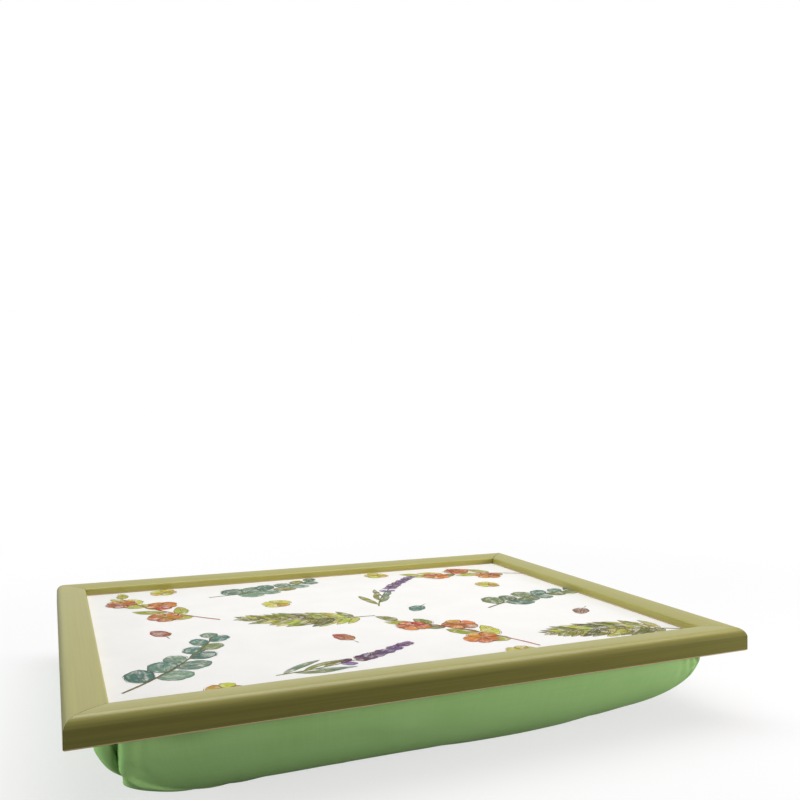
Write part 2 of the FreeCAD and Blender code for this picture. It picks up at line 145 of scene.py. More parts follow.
class Shader:
    """A node tree under construction."""

    def __init__(self, tree: bpy.types.NodeTree) -> None:
        """Start from an empty tree."""
        self.tree = tree
        tree.nodes.clear()

    def node(
        self,
        kind: str,
        inputs: Optional[dict[Union[int, str], Any]] = None,
        output: Union[int, str] = 0,
        **settings: Any,
    ) -> Socket:
        """Add a node.

        Args:
            kind: The node's type.
            inputs: Values or links of its sockets, by name or number.
            output: The output to return.
            settings: Its properties, set first.

        Returns:
            That output, or the first input of a node with no outputs.
        """
        made = self.tree.nodes.new(kind)
        for name, value in settings.items():
            setattr(made, name, value)
        for name, value in (inputs or {}).items():
            if isinstance(value, Socket):
                self.tree.links.new(value.socket, made.inputs[name])
            else:
                made.inputs[name].default_value = value
        return Socket(self, made.outputs[output] if made.outputs else made.inputs[0])

    def place(self, kind: str = "Object") -> Socket:
        """Object coordinates, or the piece's own UV."""
        return self.node("ShaderNodeTexCoord", output=kind)

    def split(self, place: Socket) -> Socket:
        """The X part of coordinates; Y and Z are its siblings."""
        return self.node("ShaderNodeSeparateXYZ", {0: place})

    def attribute(self, name: str, output: str = "Fac") -> Socket:
        """An attribute of the mesh."""
        return self.node("ShaderNodeAttribute", output=output, attribute_name=name)

    def noise(self, place: Socket, scale: float, detail: float = 2.0, distortion: float = 0.0) -> Socket:
        """Cloudy noise with a mean near one half; the scale counts features to the metre."""
        values = {"Vector": place, "Scale": scale, "Detail": detail, "Distortion": distortion}
        return self.node("ShaderNodeTexNoise", values)

    def streaks(self, place: Socket, scale: tuple[float, float, float], detail: float = 2.0) -> Socket:
        """Noise drawn out into streaks, with its own scale along each axis."""
        scaled = self.node("ShaderNodeMapping", {"Vector": place, "Scale": scale})
        return self.noise(scaled, 1.0, detail)

    def mix(self, factor: Value, first: Any, second: Any, blend: str = "MIX") -> Socket:
        """A mix of two colours; the factor is the share of the second."""
        inputs = {0: factor, 6: first, 7: second}
        return self.node("ShaderNodeMix", inputs, 2, data_type="RGBA", blend_type=blend, clamp_factor=True)

    def between(self, level: Socket, first: Any, second: Any) -> Socket:
        """A colour that goes from one to another over the middle range of a noise."""
        return self.mix(level.rise(0.3, 0.7), first, second)

    def shade(self, colour: Any, level: Socket) -> Socket:
        """A colour times a brightness that varies over the surface."""
        grey = self.node("ShaderNodeCombineColor", {0: level, 1: level, 2: level})
        return self.mix(1.0, colour, grey, "MULTIPLY")

    def bump(self, height: Socket, depth: float, strength: float = 1.0) -> Socket:
        """A normal that follows a height from 0 to 1, whose unit is depth metres deep."""
        values = {"Height": height, "Distance": depth, "Strength": strength}
        return self.node("ShaderNodeBump", values)

    def surface(self, inputs: dict[str, Any]) -> None:
        """Finish a material with one Principled shader."""
        shader = self.node("ShaderNodeBsdfPrincipled", inputs)
        self.node("ShaderNodeOutputMaterial", {"Surface": shader})


class Finish:
    """A procedural finish; each kind draws its own nodes."""

    name: str

    def draw(self, shader: Shader) -> None:
        """Draw the nodes of the finish."""
        raise NotImplementedError

    def material(self) -> bpy.types.Material:
        """The finish as a material, made once.

        Returns:
            The material.
        """
        label = f"finish_{self.name}"
        made = bpy.data.materials.get(label)
        if made is None:
            made = bpy.data.materials.new(label)
            made.use_nodes = True
            self.draw(Shader(made.node_tree))
        return made


@dataclass(frozen=True)
class PaintedMoulding(Finish):
    """Satin olive paint with painted shade on its outer face; pale bare wood where the paint ends."""

    paint_start: float
    paint_end: float
    shoulder: float
    crown: float
    name: str = "painted_moulding"
    # painted shade: a darker olive for the outer face and shoulder, standing in for the light they miss
    painted_shade_olive: Colour = swatch(83, 85, 22)
    olive: Colour = swatch(152, 147, 68)
    pale_olive: Colour = swatch(162, 157, 79)
    wood: Colour = swatch(214, 196, 158)
    dark_wood: Colour = swatch(184, 160, 118)
    gap: Colour = swatch(70, 66, 34)
    gap_share: float = 0.62
    gap_width: float = 0.5 * MM
    painted_shade_share: float = 0.85
    painted_shade_streaks: float = 0.12
    paint_edge: float = 0.15 * MM

    def draw(self, shader: Shader) -> None:
        """Streaks along each rail, a fine skin, a dark hairline at the mitres and bare wood behind."""
        along = shader.place("UV")
        place = shader.place()
        across = shader.split(along).sibling("Y")
        streaks = shader.streaks(along, (9.0, 620.0, 1.0), 3.0)
        clouds = shader.noise(place, 22.0, 2.0)
        paint = shader.between(streaks * 0.75 + clouds * 0.25, self.olive, self.pale_olive)
        # Painted shade: the outer face and shoulder fade to the darker olive, with only a few streaks
        side = across.rise(self.crown, self.shoulder, 0.0, self.painted_shade_share)
        streaked = streaks.rise(0.3, 0.7, 0.0, self.painted_shade_streaks)
        paint = shader.mix(side, paint, shader.mix(streaked, self.painted_shade_olive, self.olive))
        mitre = shader.attribute("mitre").rise(0.0, self.gap_width, self.gap_share, 0.0)
        paint = shader.mix(mitre, paint, self.gap)
        grain = shader.streaks(along, (14.0, 900.0, 1.0), 4.0)
        wood = shader.between(grain, self.dark_wood, self.wood)
        edge = self.paint_edge
        below = across.rise(self.paint_start + edge, self.paint_start - edge)
        bare = below.larger(across.rise(self.paint_end - edge, self.paint_end + edge))
        skin = shader.noise(place, 1500.0, 2.0)
        shader.surface({
            "Base Color": shader.mix(bare, paint, wood),
            "Roughness": 0.3 + streaks * 0.12 + bare * 0.35,
            "IOR": 1.45,
            "Coat Weight": 0.12,
            "Coat Roughness": 0.2,
            "Normal": shader.bump(skin * 0.5 + streaks * 0.5, 0.05 * MM, 0.22),
        })


@dataclass(frozen=True)
class PrintedPaper(Finish):
    """White print stock under a satin film, with a bare tan margin at the frame."""

    margin_x: float
    margin_y: float
    name: str = "printed_paper"
    paper: Colour = swatch(243, 242, 239)
    shadow: Colour = swatch(239, 238, 234)
    margin: Colour = swatch(176, 140, 98)
    margin_edge: float = 0.15 * MM
    margin_wander: float = 0.2 * MM

    def draw(self, shader: Shader) -> None:
        """Faint clouds in the white, a slight ripple in the film, and the margin."""
        place = shader.place()
        clouds = shader.noise(place, 35.0, 3.0)
        tooth = shader.noise(place, 1800.0, 2.0)
        ripple = shader.noise(place, 60.0, 2.0)
        parts = shader.split(place)
        beyond = (abs(parts) - self.margin_x).larger(abs(parts.sibling("Y")) - self.margin_y)
        bare = (beyond + tooth * self.margin_wander).rise(0.0, self.margin_edge)
        white = shader.between(clouds * 0.8 + tooth * 0.2, self.shadow, self.paper)
        shader.surface({
            "Base Color": shader.mix(bare, white, self.margin),
            "Roughness": 0.5 + tooth * 0.1,
            "Specular IOR Level": 0.3,
            "Coat Weight": 0.12,
            "Coat Roughness": 0.3,
            "Normal": shader.bump(ripple * 0.8 + tooth * 0.2, 0.02 * MM, 0.3),
        })


@dataclass(frozen=True)
class Watercolour(Finish):
    """Transparent wash on the paper: pooled edges, lifted lights and grains of pigment."""

    name: str = "watercolour"
    paper: Colour = swatch(243, 241, 230)

    def draw(self, shader: Shader) -> None:
        """The wash of each blade, paler and darker in pools and along the brush, darker at its edge."""
        place = shader.place()
        uv = shader.place("UV")
        parts = shader.split(uv)
        across = abs(parts.sibling("Y") * 2.0 - 1.0)
        wash = shader.attribute("wash", "Color")
        pools = shader.noise(place, 150.0, 3.0, 0.6)
        grain = shader.noise(place, 1400.0, 2.0)
        bleed = shader.noise(place, 75.0, 1.0)
        brush = shader.streaks(uv, (2.2, 9.0, 1.0))
        edge = across.rise(0.72, 1.0)
        shift = {"Hue": 0.5 + (bleed - 0.5) * 0.16, "Saturation": 1.05, "Value": 1.0, "Color": wash}
        hue = shader.node("ShaderNodeHueSaturation", shift)
        pigment = pools * 0.75 + brush * 0.45 + grain * 0.2 + edge * 0.28 - 0.2
        pale = shader.mix(0.62, hue, self.paper)
        deep = shader.mix(0.85, hue, hue, "MULTIPLY")
        colour = shader.mix(pigment.rise(0.28, 0.56), pale, hue)
        colour = shader.mix(pigment.rise(0.58, 0.95, 0.0, 0.75), colour, deep)
        shader.surface({
            "Base Color": colour,
            "Roughness": 0.5 + grain * 0.08,
            "Specular IOR Level": 0.1,
        })


@dataclass(frozen=True)
class PenLine(Finish):
    """Pen and fine brush strokes in the colour that each stroke has."""

    name: str = "pen_line"

    def draw(self, shader: Shader) -> None:
        """The stroke's colour with the slight breaks of a dry nib."""
        place = shader.place()
        stroke = shader.attribute("wash", "Color")
        nib = shader.noise(place, 700.0, 2.0)
        shader.surface({
            "Base Color": shader.shade(stroke, nib.rise(0.3, 0.7, 0.75, 1.5)),
            "Roughness": 0.52,
            "Specular IOR Level": 0.1,
        })


@dataclass(frozen=True)
class CoverCloth(Finish):
    """Fine plain-woven cotton in sage green."""

    name: str = "cover_cloth"
    green: Colour = swatch(146, 193, 119)
    pale_green: Colour = swatch(156, 200, 130)
    sheen: Colour = swatch(196, 222, 176)
    thread_pitch: float = 0.52 * MM

    def draw(self, shader: Shader) -> None:
        """Threads that pass over and under by turns, with slubs along warp and weft and a soft nap."""
        uv = shader.place("UV")
        place = shader.place()
        parts = shader.split(uv)
        turn = math.pi / self.thread_pitch
        sway = shader.noise(place, 260.0, 2.0) * 3.0
        weave = (parts * turn + sway).sine() * (parts.sibling("Y") * turn - sway).sine()
        warp = shader.streaks(uv, (26.0, 1100.0, 1.0))
        weft = shader.streaks(uv, (1100.0, 26.0, 1.0))
        clouds = shader.noise(place, 28.0, 3.0)
        fuzz = shader.noise(place, 2600.0, 2.0)
        tone = warp * 0.25 + weft * 0.25 + clouds * 0.5
        colour = shader.between(tone, self.green, self.pale_green)
        colour = shader.shade(colour, 0.97 + weave * 0.05)
        shader.surface({
            "Base Color": colour,
            "Roughness": 0.78 + fuzz * 0.12,
            "Sheen Weight": 0.12,
            "Sheen Roughness": 0.45,
            "Sheen Tint": self.sheen,
            "Specular IOR Level": 0.15,
            "Normal": shader.bump(weave * 0.5 + warp * 0.4 + weft * 0.4 + fuzz * 0.2, 0.09 * MM, 0.5),
        })


@dataclass(frozen=True)
class Fibreboard(Finish):
    """Pressed wood fibre, pale or dark, with fine flecks."""

    name: str
    light: Colour
    dark: Colour

    def draw(self, shader: Shader) -> None:
        """Flecks of fibre over soft clouds, with a slightly rough face."""
        place = shader.place()
        flecks = shader.noise(place, 850.0, 5.0)
        clouds = shader.noise(place, 40.0, 2.0)
        shader.surface({
            "Base Color": shader.mix((flecks * 0.7 + clouds * 0.3).rise(0.32, 0.68), self.dark, self.light),
            "Roughness": 0.72 + flecks * 0.15,
            "Normal": shader.bump(flecks, 0.05 * MM, 0.4),
        })


@dataclass(frozen=True)
class BrightSteel(Finish):
    """Drawn and stamped steel, zinc bright."""

    name: str = "bright_steel"
    light: Colour = swatch(205, 206, 208)
    dull: Colour = swatch(150, 152, 156)

    def draw(self, shader: Shader) -> None:
        """Drawing lines and cloudy zinc."""
        place = shader.place()
        clouds = shader.noise(place, 320.0, 3.0)
        lines = shader.streaks(place, (200.0, 200.0, 3000.0))
        shader.surface({
            "Base Color": shader.between(clouds, self.dull, self.light),
            "Metallic": 1.0,
            "Roughness": 0.28 + lines * 0.18,
        })


@dataclass(frozen=True)
class LinerCloth(Finish):
    """Pressed fleece of the bead bag, off white."""

    name: str = "liner_cloth"
    light: Colour = swatch(232, 230, 222)
    dark: Colour = swatch(208, 205, 196)
    bond_pitch: float = 1.6 * MM

    def draw(self, shader: Shader) -> None:
        """Tangled fibres with the small squares that bond them."""
        place = shader.place()
        fibres = shader.noise(place, 1300.0, 4.0, 1.5)
        parts = shader.split(place)
        turn = math.pi / self.bond_pitch
        dots = ((parts * turn).sine() * (parts.sibling("Y") * turn).sine()).rise(0.55, 0.8)
        shader.surface({
            "Base Color": shader.between(fibres, self.dark, self.light),
            "Roughness": 0.85 + fibres * 0.1,
            "Normal": shader.bump(fibres - dots * 0.6, 0.15 * MM, 0.5),
        })


@dataclass(frozen=True)
class FoamBeads(Finish):
    """Packed foam beads."""

    name: str = "foam_beads"
    light: Colour = swatch(244, 244, 242)
    shadow: Colour = swatch(196, 198, 200)
    bead: float = 3.5 * MM

    def draw(self, shader: Shader) -> None:
        """Round cells side by side, with painted shade where they meet."""
        place = shader.place()
        cells = shader.node("ShaderNodeTexVoronoi", {"Vector": place, "Scale": 1 / self.bead})
        crown = cells.rise(0.75, 0.05)
        shader.surface({
            # painted shade: the colour goes to the shadow colour at the cells' edges
            "Base Color": shader.mix(crown, self.shadow, self.light),
            "Roughness": 0.6 + crown * 0.15,
            "Normal": shader.bump(crown, 1.2 * MM, 0.8),
        })


def heading(angle: Array) -> Array:
    """Unit vectors of the plane at the given angles."""
    return np.stack([np.cos(angle), np.sin(angle)], axis=-1)


def left_of(way: Array) -> Array:
    """Vectors of the plane, a quarter turn to the left."""
    return np.stack([-way[..., 1], way[..., 0]], axis=-1)


def turned(flat: Array, angle: Any) -> Array:
    """Points of the plane, turned about the origin."""
    x, y = flat[..., 0], flat[..., 1]
    cos, sin = np.cos(angle), np.sin(angle)
    return np.stack([x * cos - y * sin, x * sin + y * cos], axis=-1)


def run_length(line: Array) -> Array:
    """Distance of each point of a line from the first, along the line."""
    return np.concatenate([[0.0], np.cumsum(np.linalg.norm(np.diff(line, axis=0), axis=1))])


def line_at(spots: Array, share: Array, line: Array) -> Array:
    """Points of a line in the plane at some shares of its length."""
    return np.stack([np.interp(spots, share, line[:, axis]) for axis in (0, 1)], axis=1)


def quads(table: Array) -> Array:
    """Corners of each quad of a table of point numbers or UV pairs, by quad and corner."""
    corners = [table[:-1, :-1], table[:-1, 1:], table[1:, 1:], table[1:, :-1]]
    return np.stack(corners, axis=2).reshape(-1, 4, *table.shape[2:])


def closed(rings: Array) -> Array:
    """A table by ring and point, with each ring's first point again at its end."""
    return np.concatenate([rings, rings[:, :1]], axis=1)


def new_piece(
    name: str,
    places: Array,
    faces: Sequence[Sequence[int]],
    uv: Optional[Array] = None,
    sharp_angle: float = 180.0,
) -> Piece:
    """Make an object at the origin from arrays.

    Args:
        name: The piece's name.
        places: Points, in any shape that ends in three.
        faces: Point numbers of each face.
        uv: One pair for each face corner, in the order of the faces, or one for each point.
        sharp_angle: Edges that turn by more than this many degrees stay sharp.

    Returns:
        The object.
    """
    mesh = bpy.data.meshes.new(name)
    mesh.from_pydata(places.reshape(-1, 3).tolist(), [], [list(face) for face in faces])
    mesh.polygons.foreach_set("use_smooth", np.ones(len(mesh.polygons), dtype=bool))
    if sharp_angle < 180.0:
        mesh.set_sharp_from_angle(angle=math.radians(sharp_angle))
    if uv is not None:
        corners = np.empty(len(mesh.loops), dtype=np.int32)
        mesh.loops.foreach_get("vertex_index", corners)
        pairs = uv.reshape(-1, 2)
        if len(pairs) != len(mesh.loops):
            pairs = pairs[corners]
        mesh.uv_layers.new(name="UVMap").data.foreach_set("uv", pairs.astype(np.float32).ravel())
    mesh.update()
    piece = bpy.data.objects.new(name, mesh)
    bpy.context.scene.collection.objects.link(piece)
    return piece


def give_attribute(piece: Piece, name: str, values: Array) -> None:
    """Store a number, or a colour of four, at each point of a piece."""
    colour = values.ndim > 1
    kind = "FLOAT_COLOR" if colour else "FLOAT"
    layer = piece.data.attributes.new(name, kind, "POINT")
    layer.data.foreach_set("color" if colour else "value", values.astype(np.float32).ravel())


def dress(piece: Piece, finish: Finish, slot: str, *nodes: str) -> Piece:
    """Give a new piece its finish, let it ride on the tray, and let it stand for CAD nodes.

    Args:
        piece: The piece.
        finish: Its finish.
        slot: A material slot's name; not used.
        nodes: CAD nodes that it stands for.

    Returns:
        The piece.
    """
    piece.data.materials.clear()
    piece.data.materials.append(finish.material())
    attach(piece, ROOT)
    if nodes:
        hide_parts(*nodes)
    role = ", ".join(nodes) or "itself"
    LOG.info("%s: %d points, stands for %s", piece.name, len(piece.data.vertices), role)
    return piece


def read_points(piece: Piece) -> Array:
    """Points of an object's mesh."""
    points = np.empty(len(piece.data.vertices) * 3)
    piece.data.vertices.foreach_get("co", points)
    return points.reshape(-1, 3)


def write_points(piece: Piece, places: Array) -> None:
    """Move the points of an object's mesh."""
    piece.data.vertices.foreach_set("co", places.astype(np.float32).ravel())
    piece.data.update()


def half_size(axis: int) -> float:
    """Half of the tray's outside size along X or Y."""
    return float(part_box(("right_rail", "back_rail")[axis])[1][axis])


@dataclass
class MouldingFrame:
    """Four mitred rails of rebated, crowned moulding."""

    shoulder_radius: float = 6.0 * MM
    crown_fall: float = 1.4 * MM
    nose_radius: float = 1.8 * MM
    foot_bevel: float = 0.6 * MM
    rebate_width: float = 7.0 * MM
    rebate_depth: float = 8.0 * MM
    foot_recess: float = 0.12 * MM
    groove_depth: float = 0.22 * MM
    groove_width: float = 0.45 * MM
    bare_foot: float = 0.2 * MM
    bare_lip: float = 0.6 * MM
    end_steps: tuple[float, ...] = (0.0, 0.1, 0.2, 0.32, 0.5, 0.9, 2.0, 6.0)
    middle_stations: int = 40
    sides: tuple[str, ...] = ("front", "right", "back", "left")

    def section(self, width: float, height: float) -> tuple[Array, Array, PaintedMoulding]:
        """Closed section of the moulding, from the foot up the outer face and round.

        Straight runs and three arcs, each sampled evenly: bevel, outer face, shoulder, crown, nose, lip,
        shelf, rebate wall and underside.

        Args:
            width: Width of the moulding.
            height: Height at its crown.

        Returns:
            Points inward and up from the foot, distance along them, and the finish that follows them.
        """
        run = width - self.nose_radius - self.shoulder_radius
        crown_radius = (run**2 + self.crown_fall**2) / (2 * self.crown_fall)
        slope = math.asin(run / crown_radius)
        nose_height = height - self.crown_fall - self.nose_radius * math.cos(slope)
        wall = width - self.rebate_width

        def line(start: tuple[float, float], end: tuple[float, float], count: int) -> Array:
            """Points of a straight run without its end."""
            share = np.linspace(0, 1, count, endpoint=False)[:, None]
            return np.array(start) * (1 - share) + np.array(end) * share

        def arc(
            centre: tuple[float, float], radius: float, start: float, end: float, count: int
        ) -> Array:
            """Points of an arc without its end."""
            return np.array(centre) + radius * heading(np.linspace(start, end, count, endpoint=False))

        foot = self.foot_recess
        runs = [
            line((self.foot_bevel, foot), (0, self.foot_bevel + foot), 3),
            line((0, self.foot_bevel + foot), (0, height - self.shoulder_radius), 8),
            arc((self.shoulder_radius, height - self.shoulder_radius), self.shoulder_radius,
                math.pi, math.pi / 2, 20),
            arc((self.shoulder_radius, height - crown_radius), crown_radius,
                math.pi / 2, math.pi / 2 - slope, 18),
            arc((width - self.nose_radius, nose_height), self.nose_radius, math.pi / 2 - slope, 0, 10),
            line((width, nose_height), (width, self.rebate_depth), 5),
            line((width, self.rebate_depth), (wall, self.rebate_depth), 4),
            line((wall, self.rebate_depth), (wall, foot), 4),
            line((wall, foot), (self.foot_bevel, foot), 6),
        ]
        points = np.concatenate(runs)
        distance = run_length(np.concatenate([points, points[:1]]))
        counts = np.cumsum([len(part) for part in runs])
        bevel_end, face_end, shoulder_end, _, _, lip_end = distance[counts[:6]].tolist()
        finish = PaintedMoulding(
            bevel_end + self.bare_foot, lip_end - self.bare_lip, face_end, shoulder_end
        )
        return points, distance, finish

    def rail(self, side: str) -> tuple[Piece, PaintedMoulding]:
        """One rail: the section carried along its run, with each end cut on the mitre.

        A point at distance y from the outer face runs to y short of the corner. Near a mitre the face falls
        along its normal by groove_depth (1 - d / groove_width)², which leaves a hairline between rails.

        Args:
            side: The side of the tray.

        Returns:
            The rail and its finish.
        """
        low, high = (np.array(corner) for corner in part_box(f"{side}_rail"))
        span = high - low
        turns = self.sides.index(side)
        long_axis = turns % 2
        run, width, height = span[long_axis], span[1 - long_axis], span[2]
        points, distance, finish = self.section(width, height)
        following = np.roll(points, -1, axis=0) - np.roll(points, 1, axis=0)
        following /= np.linalg.norm(following, axis=1, keepdims=True)
        outward = left_of(following)

        ends = np.array(self.end_steps) * MM
        half = run / 2 - points[:, :1]
        middle = np.linspace(-1, 1, self.middle_stations)[None, 1:-1] * (half - ends[-1])
        along = np.concatenate([ends - half, middle, half - ends[::-1]], axis=1)
        mitre = half - np.abs(along)
        groove = self.groove_depth * np.clip(1 - mitre / self.groove_width, 0, 1) ** 2
        inward = points[:, :1] - outward[:, :1] * groove
        up = points[:, 1:] - outward[:, 1:] * groove

        local = np.stack([along, inward - half_size(1 - long_axis), up + low[2]], axis=-1)
        local[..., :2] = turned(local[..., :2], turns * math.pi / 2)

        stations, count = along.shape[1], len(points)
        number = np.arange(stations * count).reshape(stations, count)
        run_uv = closed(along.T)
        uv = np.stack([run_uv, np.broadcast_to(distance, run_uv.shape)], axis=-1)
        cap_uv = np.stack([np.zeros(count), distance[:-1]], axis=1)
        faces = quads(closed(number)).tolist() + [number[0, ::-1].tolist(), number[-1].tolist()]
        all_uv = np.concatenate([quads(uv).reshape(-1, 2), cap_uv[::-1], cap_uv])
        piece = new_piece(f"{side}_moulding", local.transpose(1, 0, 2), faces, all_uv, sharp_angle=40.0)
        give_attribute(piece, "mitre", mitre.T.ravel())
        return piece, finish

    def build(self) -> None:
        """Make the four rails."""
        for side in self.sides:
            piece, finish = self.rail(side)
            dress(piece, finish, "olive_paint", f"{side}_rail")


class Pigment(Enum):
    """Colours of the washes and of the pen."""

    OLIVE = swatch(128, 128, 54)
    PALE_OLIVE = swatch(164, 160, 82)
    DARK_OLIVE = swatch(92, 94, 44)
    TEAL = swatch(82, 120, 106)
    GREY_GREEN = swatch(120, 146, 122)
    LIME = swatch(190, 192, 74)
    PLUM = swatch(100, 48, 88)
    VIOLET = swatch(132, 104, 158)
    ORANGE = swatch(196, 122, 62)
    RUST = swatch(164, 84, 56)
    OCHRE = swatch(184, 150, 66)
    INK = swatch(58, 50, 44)
    STEM = swatch(112, 104, 56)


@dataclass
class Blades:
    """Leaves, petals and florets, one row of each array for each blade."""

    root: Array
    angle: Array
    length: Array
    half_width: Array
    bend: Array
    belly: Array
    wash: Array
    tier: int = 0
    least_bend: float = 0.01

    def surface(self, shares: Array, across: Array, widen: float = 1.0) -> Array:
        """Points of the blades.

        The midrib is an arc that turns by bend over the blade's length. The half width at share s of it is
        s^a (1 - s)^b, brought to half_width at its largest, with a and b set so that it is there at belly.

        Args:
            shares: Places along the midrib, from 0 to 1.
            across: Places across, from -1 to 1.
            widen: Factor on the width.

        Returns:
            Points by blade, share and place across, in the plane.
        """
        s = shares[None, :]
        bend = np.where(np.abs(self.bend) < self.least_bend, self.least_bend, self.bend)[:, None]
        turn = bend * s
        arc = np.stack([np.sin(turn), 1 - np.cos(turn)], axis=-1)
        midrib = arc * (self.length[:, None] / bend)[..., None]
        belly = self.belly[:, None]
        rise = 1.5 * belly
        fall = 1.5 - rise
        top = belly**rise * (1 - belly) ** fall
        width = self.half_width[:, None] * s**rise * (1 - s) ** fall / top * widen
        ripple = 0.05 * np.sin(17 * s + 5 * self.angle[:, None])
        tremor = 0.03 * np.sin(41 * s + 9 * self.bend[:, None])
        reach = (width * (1 + ripple + tremor))[:, :, None, None]
        flat = midrib[:, :, None] + left_of(heading(turn))[:, :, None] * reach * across[:, None]
        return turned(flat, self.angle[:, None, None]) + self.root[:, None, None]

    def line(self, shares: Array, across: float, widen: float = 1.0) -> Array:
        """One line along each blade, at one place across it."""
        return self.surface(shares, np.array([across]), widen)[:, :, 0]


@dataclass
class Strokes:
    """Pen strokes and stems: lines of equally many points, with a width and a colour each."""

    lines: Array
    half_width: Array
    wash: Array
    tier: int = 0


@dataclass
class Sprig:
    """Where a motif stands on the sheet."""

    place: tuple[float, float]
    angle: float
    length: float
    bend: float


class Motif(Enum):
    """Kinds of motif on the print."""

    EUCALYPTUS = "eucalyptus"
    FERN = "fern"
    LAVENDER = "lavender"
    BLOSSOM = "blossom"
    SINGLE_FLOWER = "single_flower"
    SINGLE_LEAF = "single_leaf"


@dataclass(frozen=True)
class Drop:
    """One of the two kinds of column in the repeat.

    Attributes:
        rows: Where its sprigs stand, in row steps.
        leans: Angles that the sprigs take by turns.
        length: Length of a sprig, in motif units.
        gaps: Where its small flowers and leaves stand, in row steps.
    """

    rows: tuple[float, ...]
    leans: tuple[float, float]
    length: float
    gaps: tuple[float, ...]


@dataclass
class BotanicalPrint:
    """A white printed sheet with garden sprigs in a half-drop repeat, in pen and watercolour."""

    seed: int = 11
    stroke_points: int = 22
    blade_steps: int = 12
    blade_columns: int = 5
    sheet_columns: int = 41
    sheet_rows: int = 31
    lift: float = 0.02 * MM
    layer_step: float = 0.003 * MM
    layers: int = 18
    trim: float = 1.0 * MM
    margin: float = 0.5 * MM
    scale: float = 1.27
    columns: int = 4
    column_step: float = 96.0 * MM
    row_step: float = 140.0 * MM
    drops: tuple[Drop, Drop] = (
        Drop((-0.5, 0.5), (0.95, 2.15), 92, (-0.93, 0.0, 0.93)),
        Drop((-0.77, 0.0, 0.77), (0.3, 2.85), 80, (-0.4, 0.4)),
    )
    sprig_bends: tuple[float, float] = (0.5, -0.5)
    gap_slips: tuple[float, float] = (12 * MM, -6 * MM)
    gap_angle: float = 0.8
    gap_length: float = 16.0
    gap_bend: float = 0.4
    stem_pen: float = 0.13 * MM
    stem_wander: float = 0.05 * MM
    nerve_pen: float = 0.09 * MM
    outline_slip: float = 0.28 * MM
    petals: int = 5
    seeds: int = 7
    seed_turn: float = 2.4
    blades: list[Blades] = field(default_factory=list)
    strokes: list[Strokes] = field(default_factory=list)

    def __post_init__(self) -> None:
        """Start the seeded source of small variations, and set the unit that motifs are drawn in."""
        self.random = np.random.default_rng(self.seed)
        self.unit = self.scale * MM

    def vary(self, count: int, spread: float) -> Array:
        """Small variations about zero."""
        return self.random.normal(0.0, spread, count)

    def washes(self, count: int, *choices: Pigment) -> Array:
        """Wash colours for a number of blades: neighbours from a few pigments, each a little different."""
        table = np.array([choice.value for choice in choices])
        pick = self.random.integers(0, len(choices), (count, 2))
        share = self.random.uniform(0, 1, (count, 1))
        colour = table[pick[:, 0]] * share + table[pick[:, 1]] * (1 - share)
        colour[:, :3] *= self.random.uniform(0.82, 1.15, (count, 1))
        return colour

    def stem(self, sprig: Sprig, half_width: float, wash: Pigment) -> Stem:
        """Draw a stem as an arc and return it for the blades that stand on it.

        Args:
            sprig: Where it stands; the place is the middle of the stem.
            half_width: Half of its width at the foot.
            wash: Its colour.

        Returns:
            Shares along it, points and directions.
        """
        share = np.linspace(0, 1, self.stroke_points)
        turn = sprig.angle + sprig.bend * (share - 0.5)
        way = heading(turn)
        line = np.cumsum(way * sprig.length / (self.stroke_points - 1), axis=0)
        line += np.array(sprig.place) - line[self.stroke_points // 2]
        width = half_width * (1.15 - 0.75 * share) * (1 + self.vary(self.stroke_points, 0.06))
        self.strokes.append(Strokes(line[None], width[None], np.array([wash.value])))
        for side in (-1, 1):
            edge = width * side + self.vary(self.stroke_points, self.stem_wander)
            self.pen((line + left_of(way) * edge[:, None])[None], self.stem_pen)
        return share, line, turn

    def pen(self, lines: Array, half_width: float, tier: int = 0) -> None:
        """Pen lines that swell and thin as the nib turns.

        Args:
            lines: Points of each line.
            half_width: Half width at a middling pressure.
            tier: Tier of the drawing that they lie on.
        """
        count, points = lines.shape[:2]
        share = np.linspace(0, 1, points)[None]
        phase = self.random.uniform(0, 2 * math.pi, (count, 1))
        pressure = 0.8 + 0.35 * np.sin(share * 7 + phase) + 0.15 * np.sin(share * 23 + 2 * phase)
        taper = np.minimum(1, 6 * np.minimum(share + 0.04, 1.04 - share))
        ink = np.tile(np.array(Pigment.INK.value), (count, 1))
        ink[:, :3] *= self.random.uniform(0.7, 1.7, (count, 1))
        self.strokes.append(Strokes(lines, half_width * pressure * taper, ink, tier))

    def grow(self, blades: Blades, veins: int = 3, outline: float = PEN) -> None:
        """Add blades, with a pen outline set a little off the wash, a midrib and side veins.

        Args:
            blades: The blades.
            veins: Side veins on each half of a blade.
            outline: Half width of the pen.
        """
        self.blades.append(blades)
        count = len(blades.length)
        shares = np.linspace(0, 1, self.stroke_points)
        slip = self.vary(count * 2, self.outline_slip).reshape(count, 1, 2)
        for side in (-1.0, 1.0) if outline else ():
            self.pen(blades.line(shares, side, widen=1.03) + slip, outline, blades.tier)
        if veins:
            self.pen(blades.line(shares * 0.86, 0.0), outline * 0.8, blades.tier)
        reach = (shares * 0.78)[:, None]
        for number in range(veins):
            run = 0.18 + 0.6 * number / veins + 0.2 * shares
            for side in (-1.0, 1.0):
                vein = blades.line(run, 0.0) * (1 - reach) + blades.line(run, side) * reach
                self.pen(vein, outline * 0.55, blades.tier)

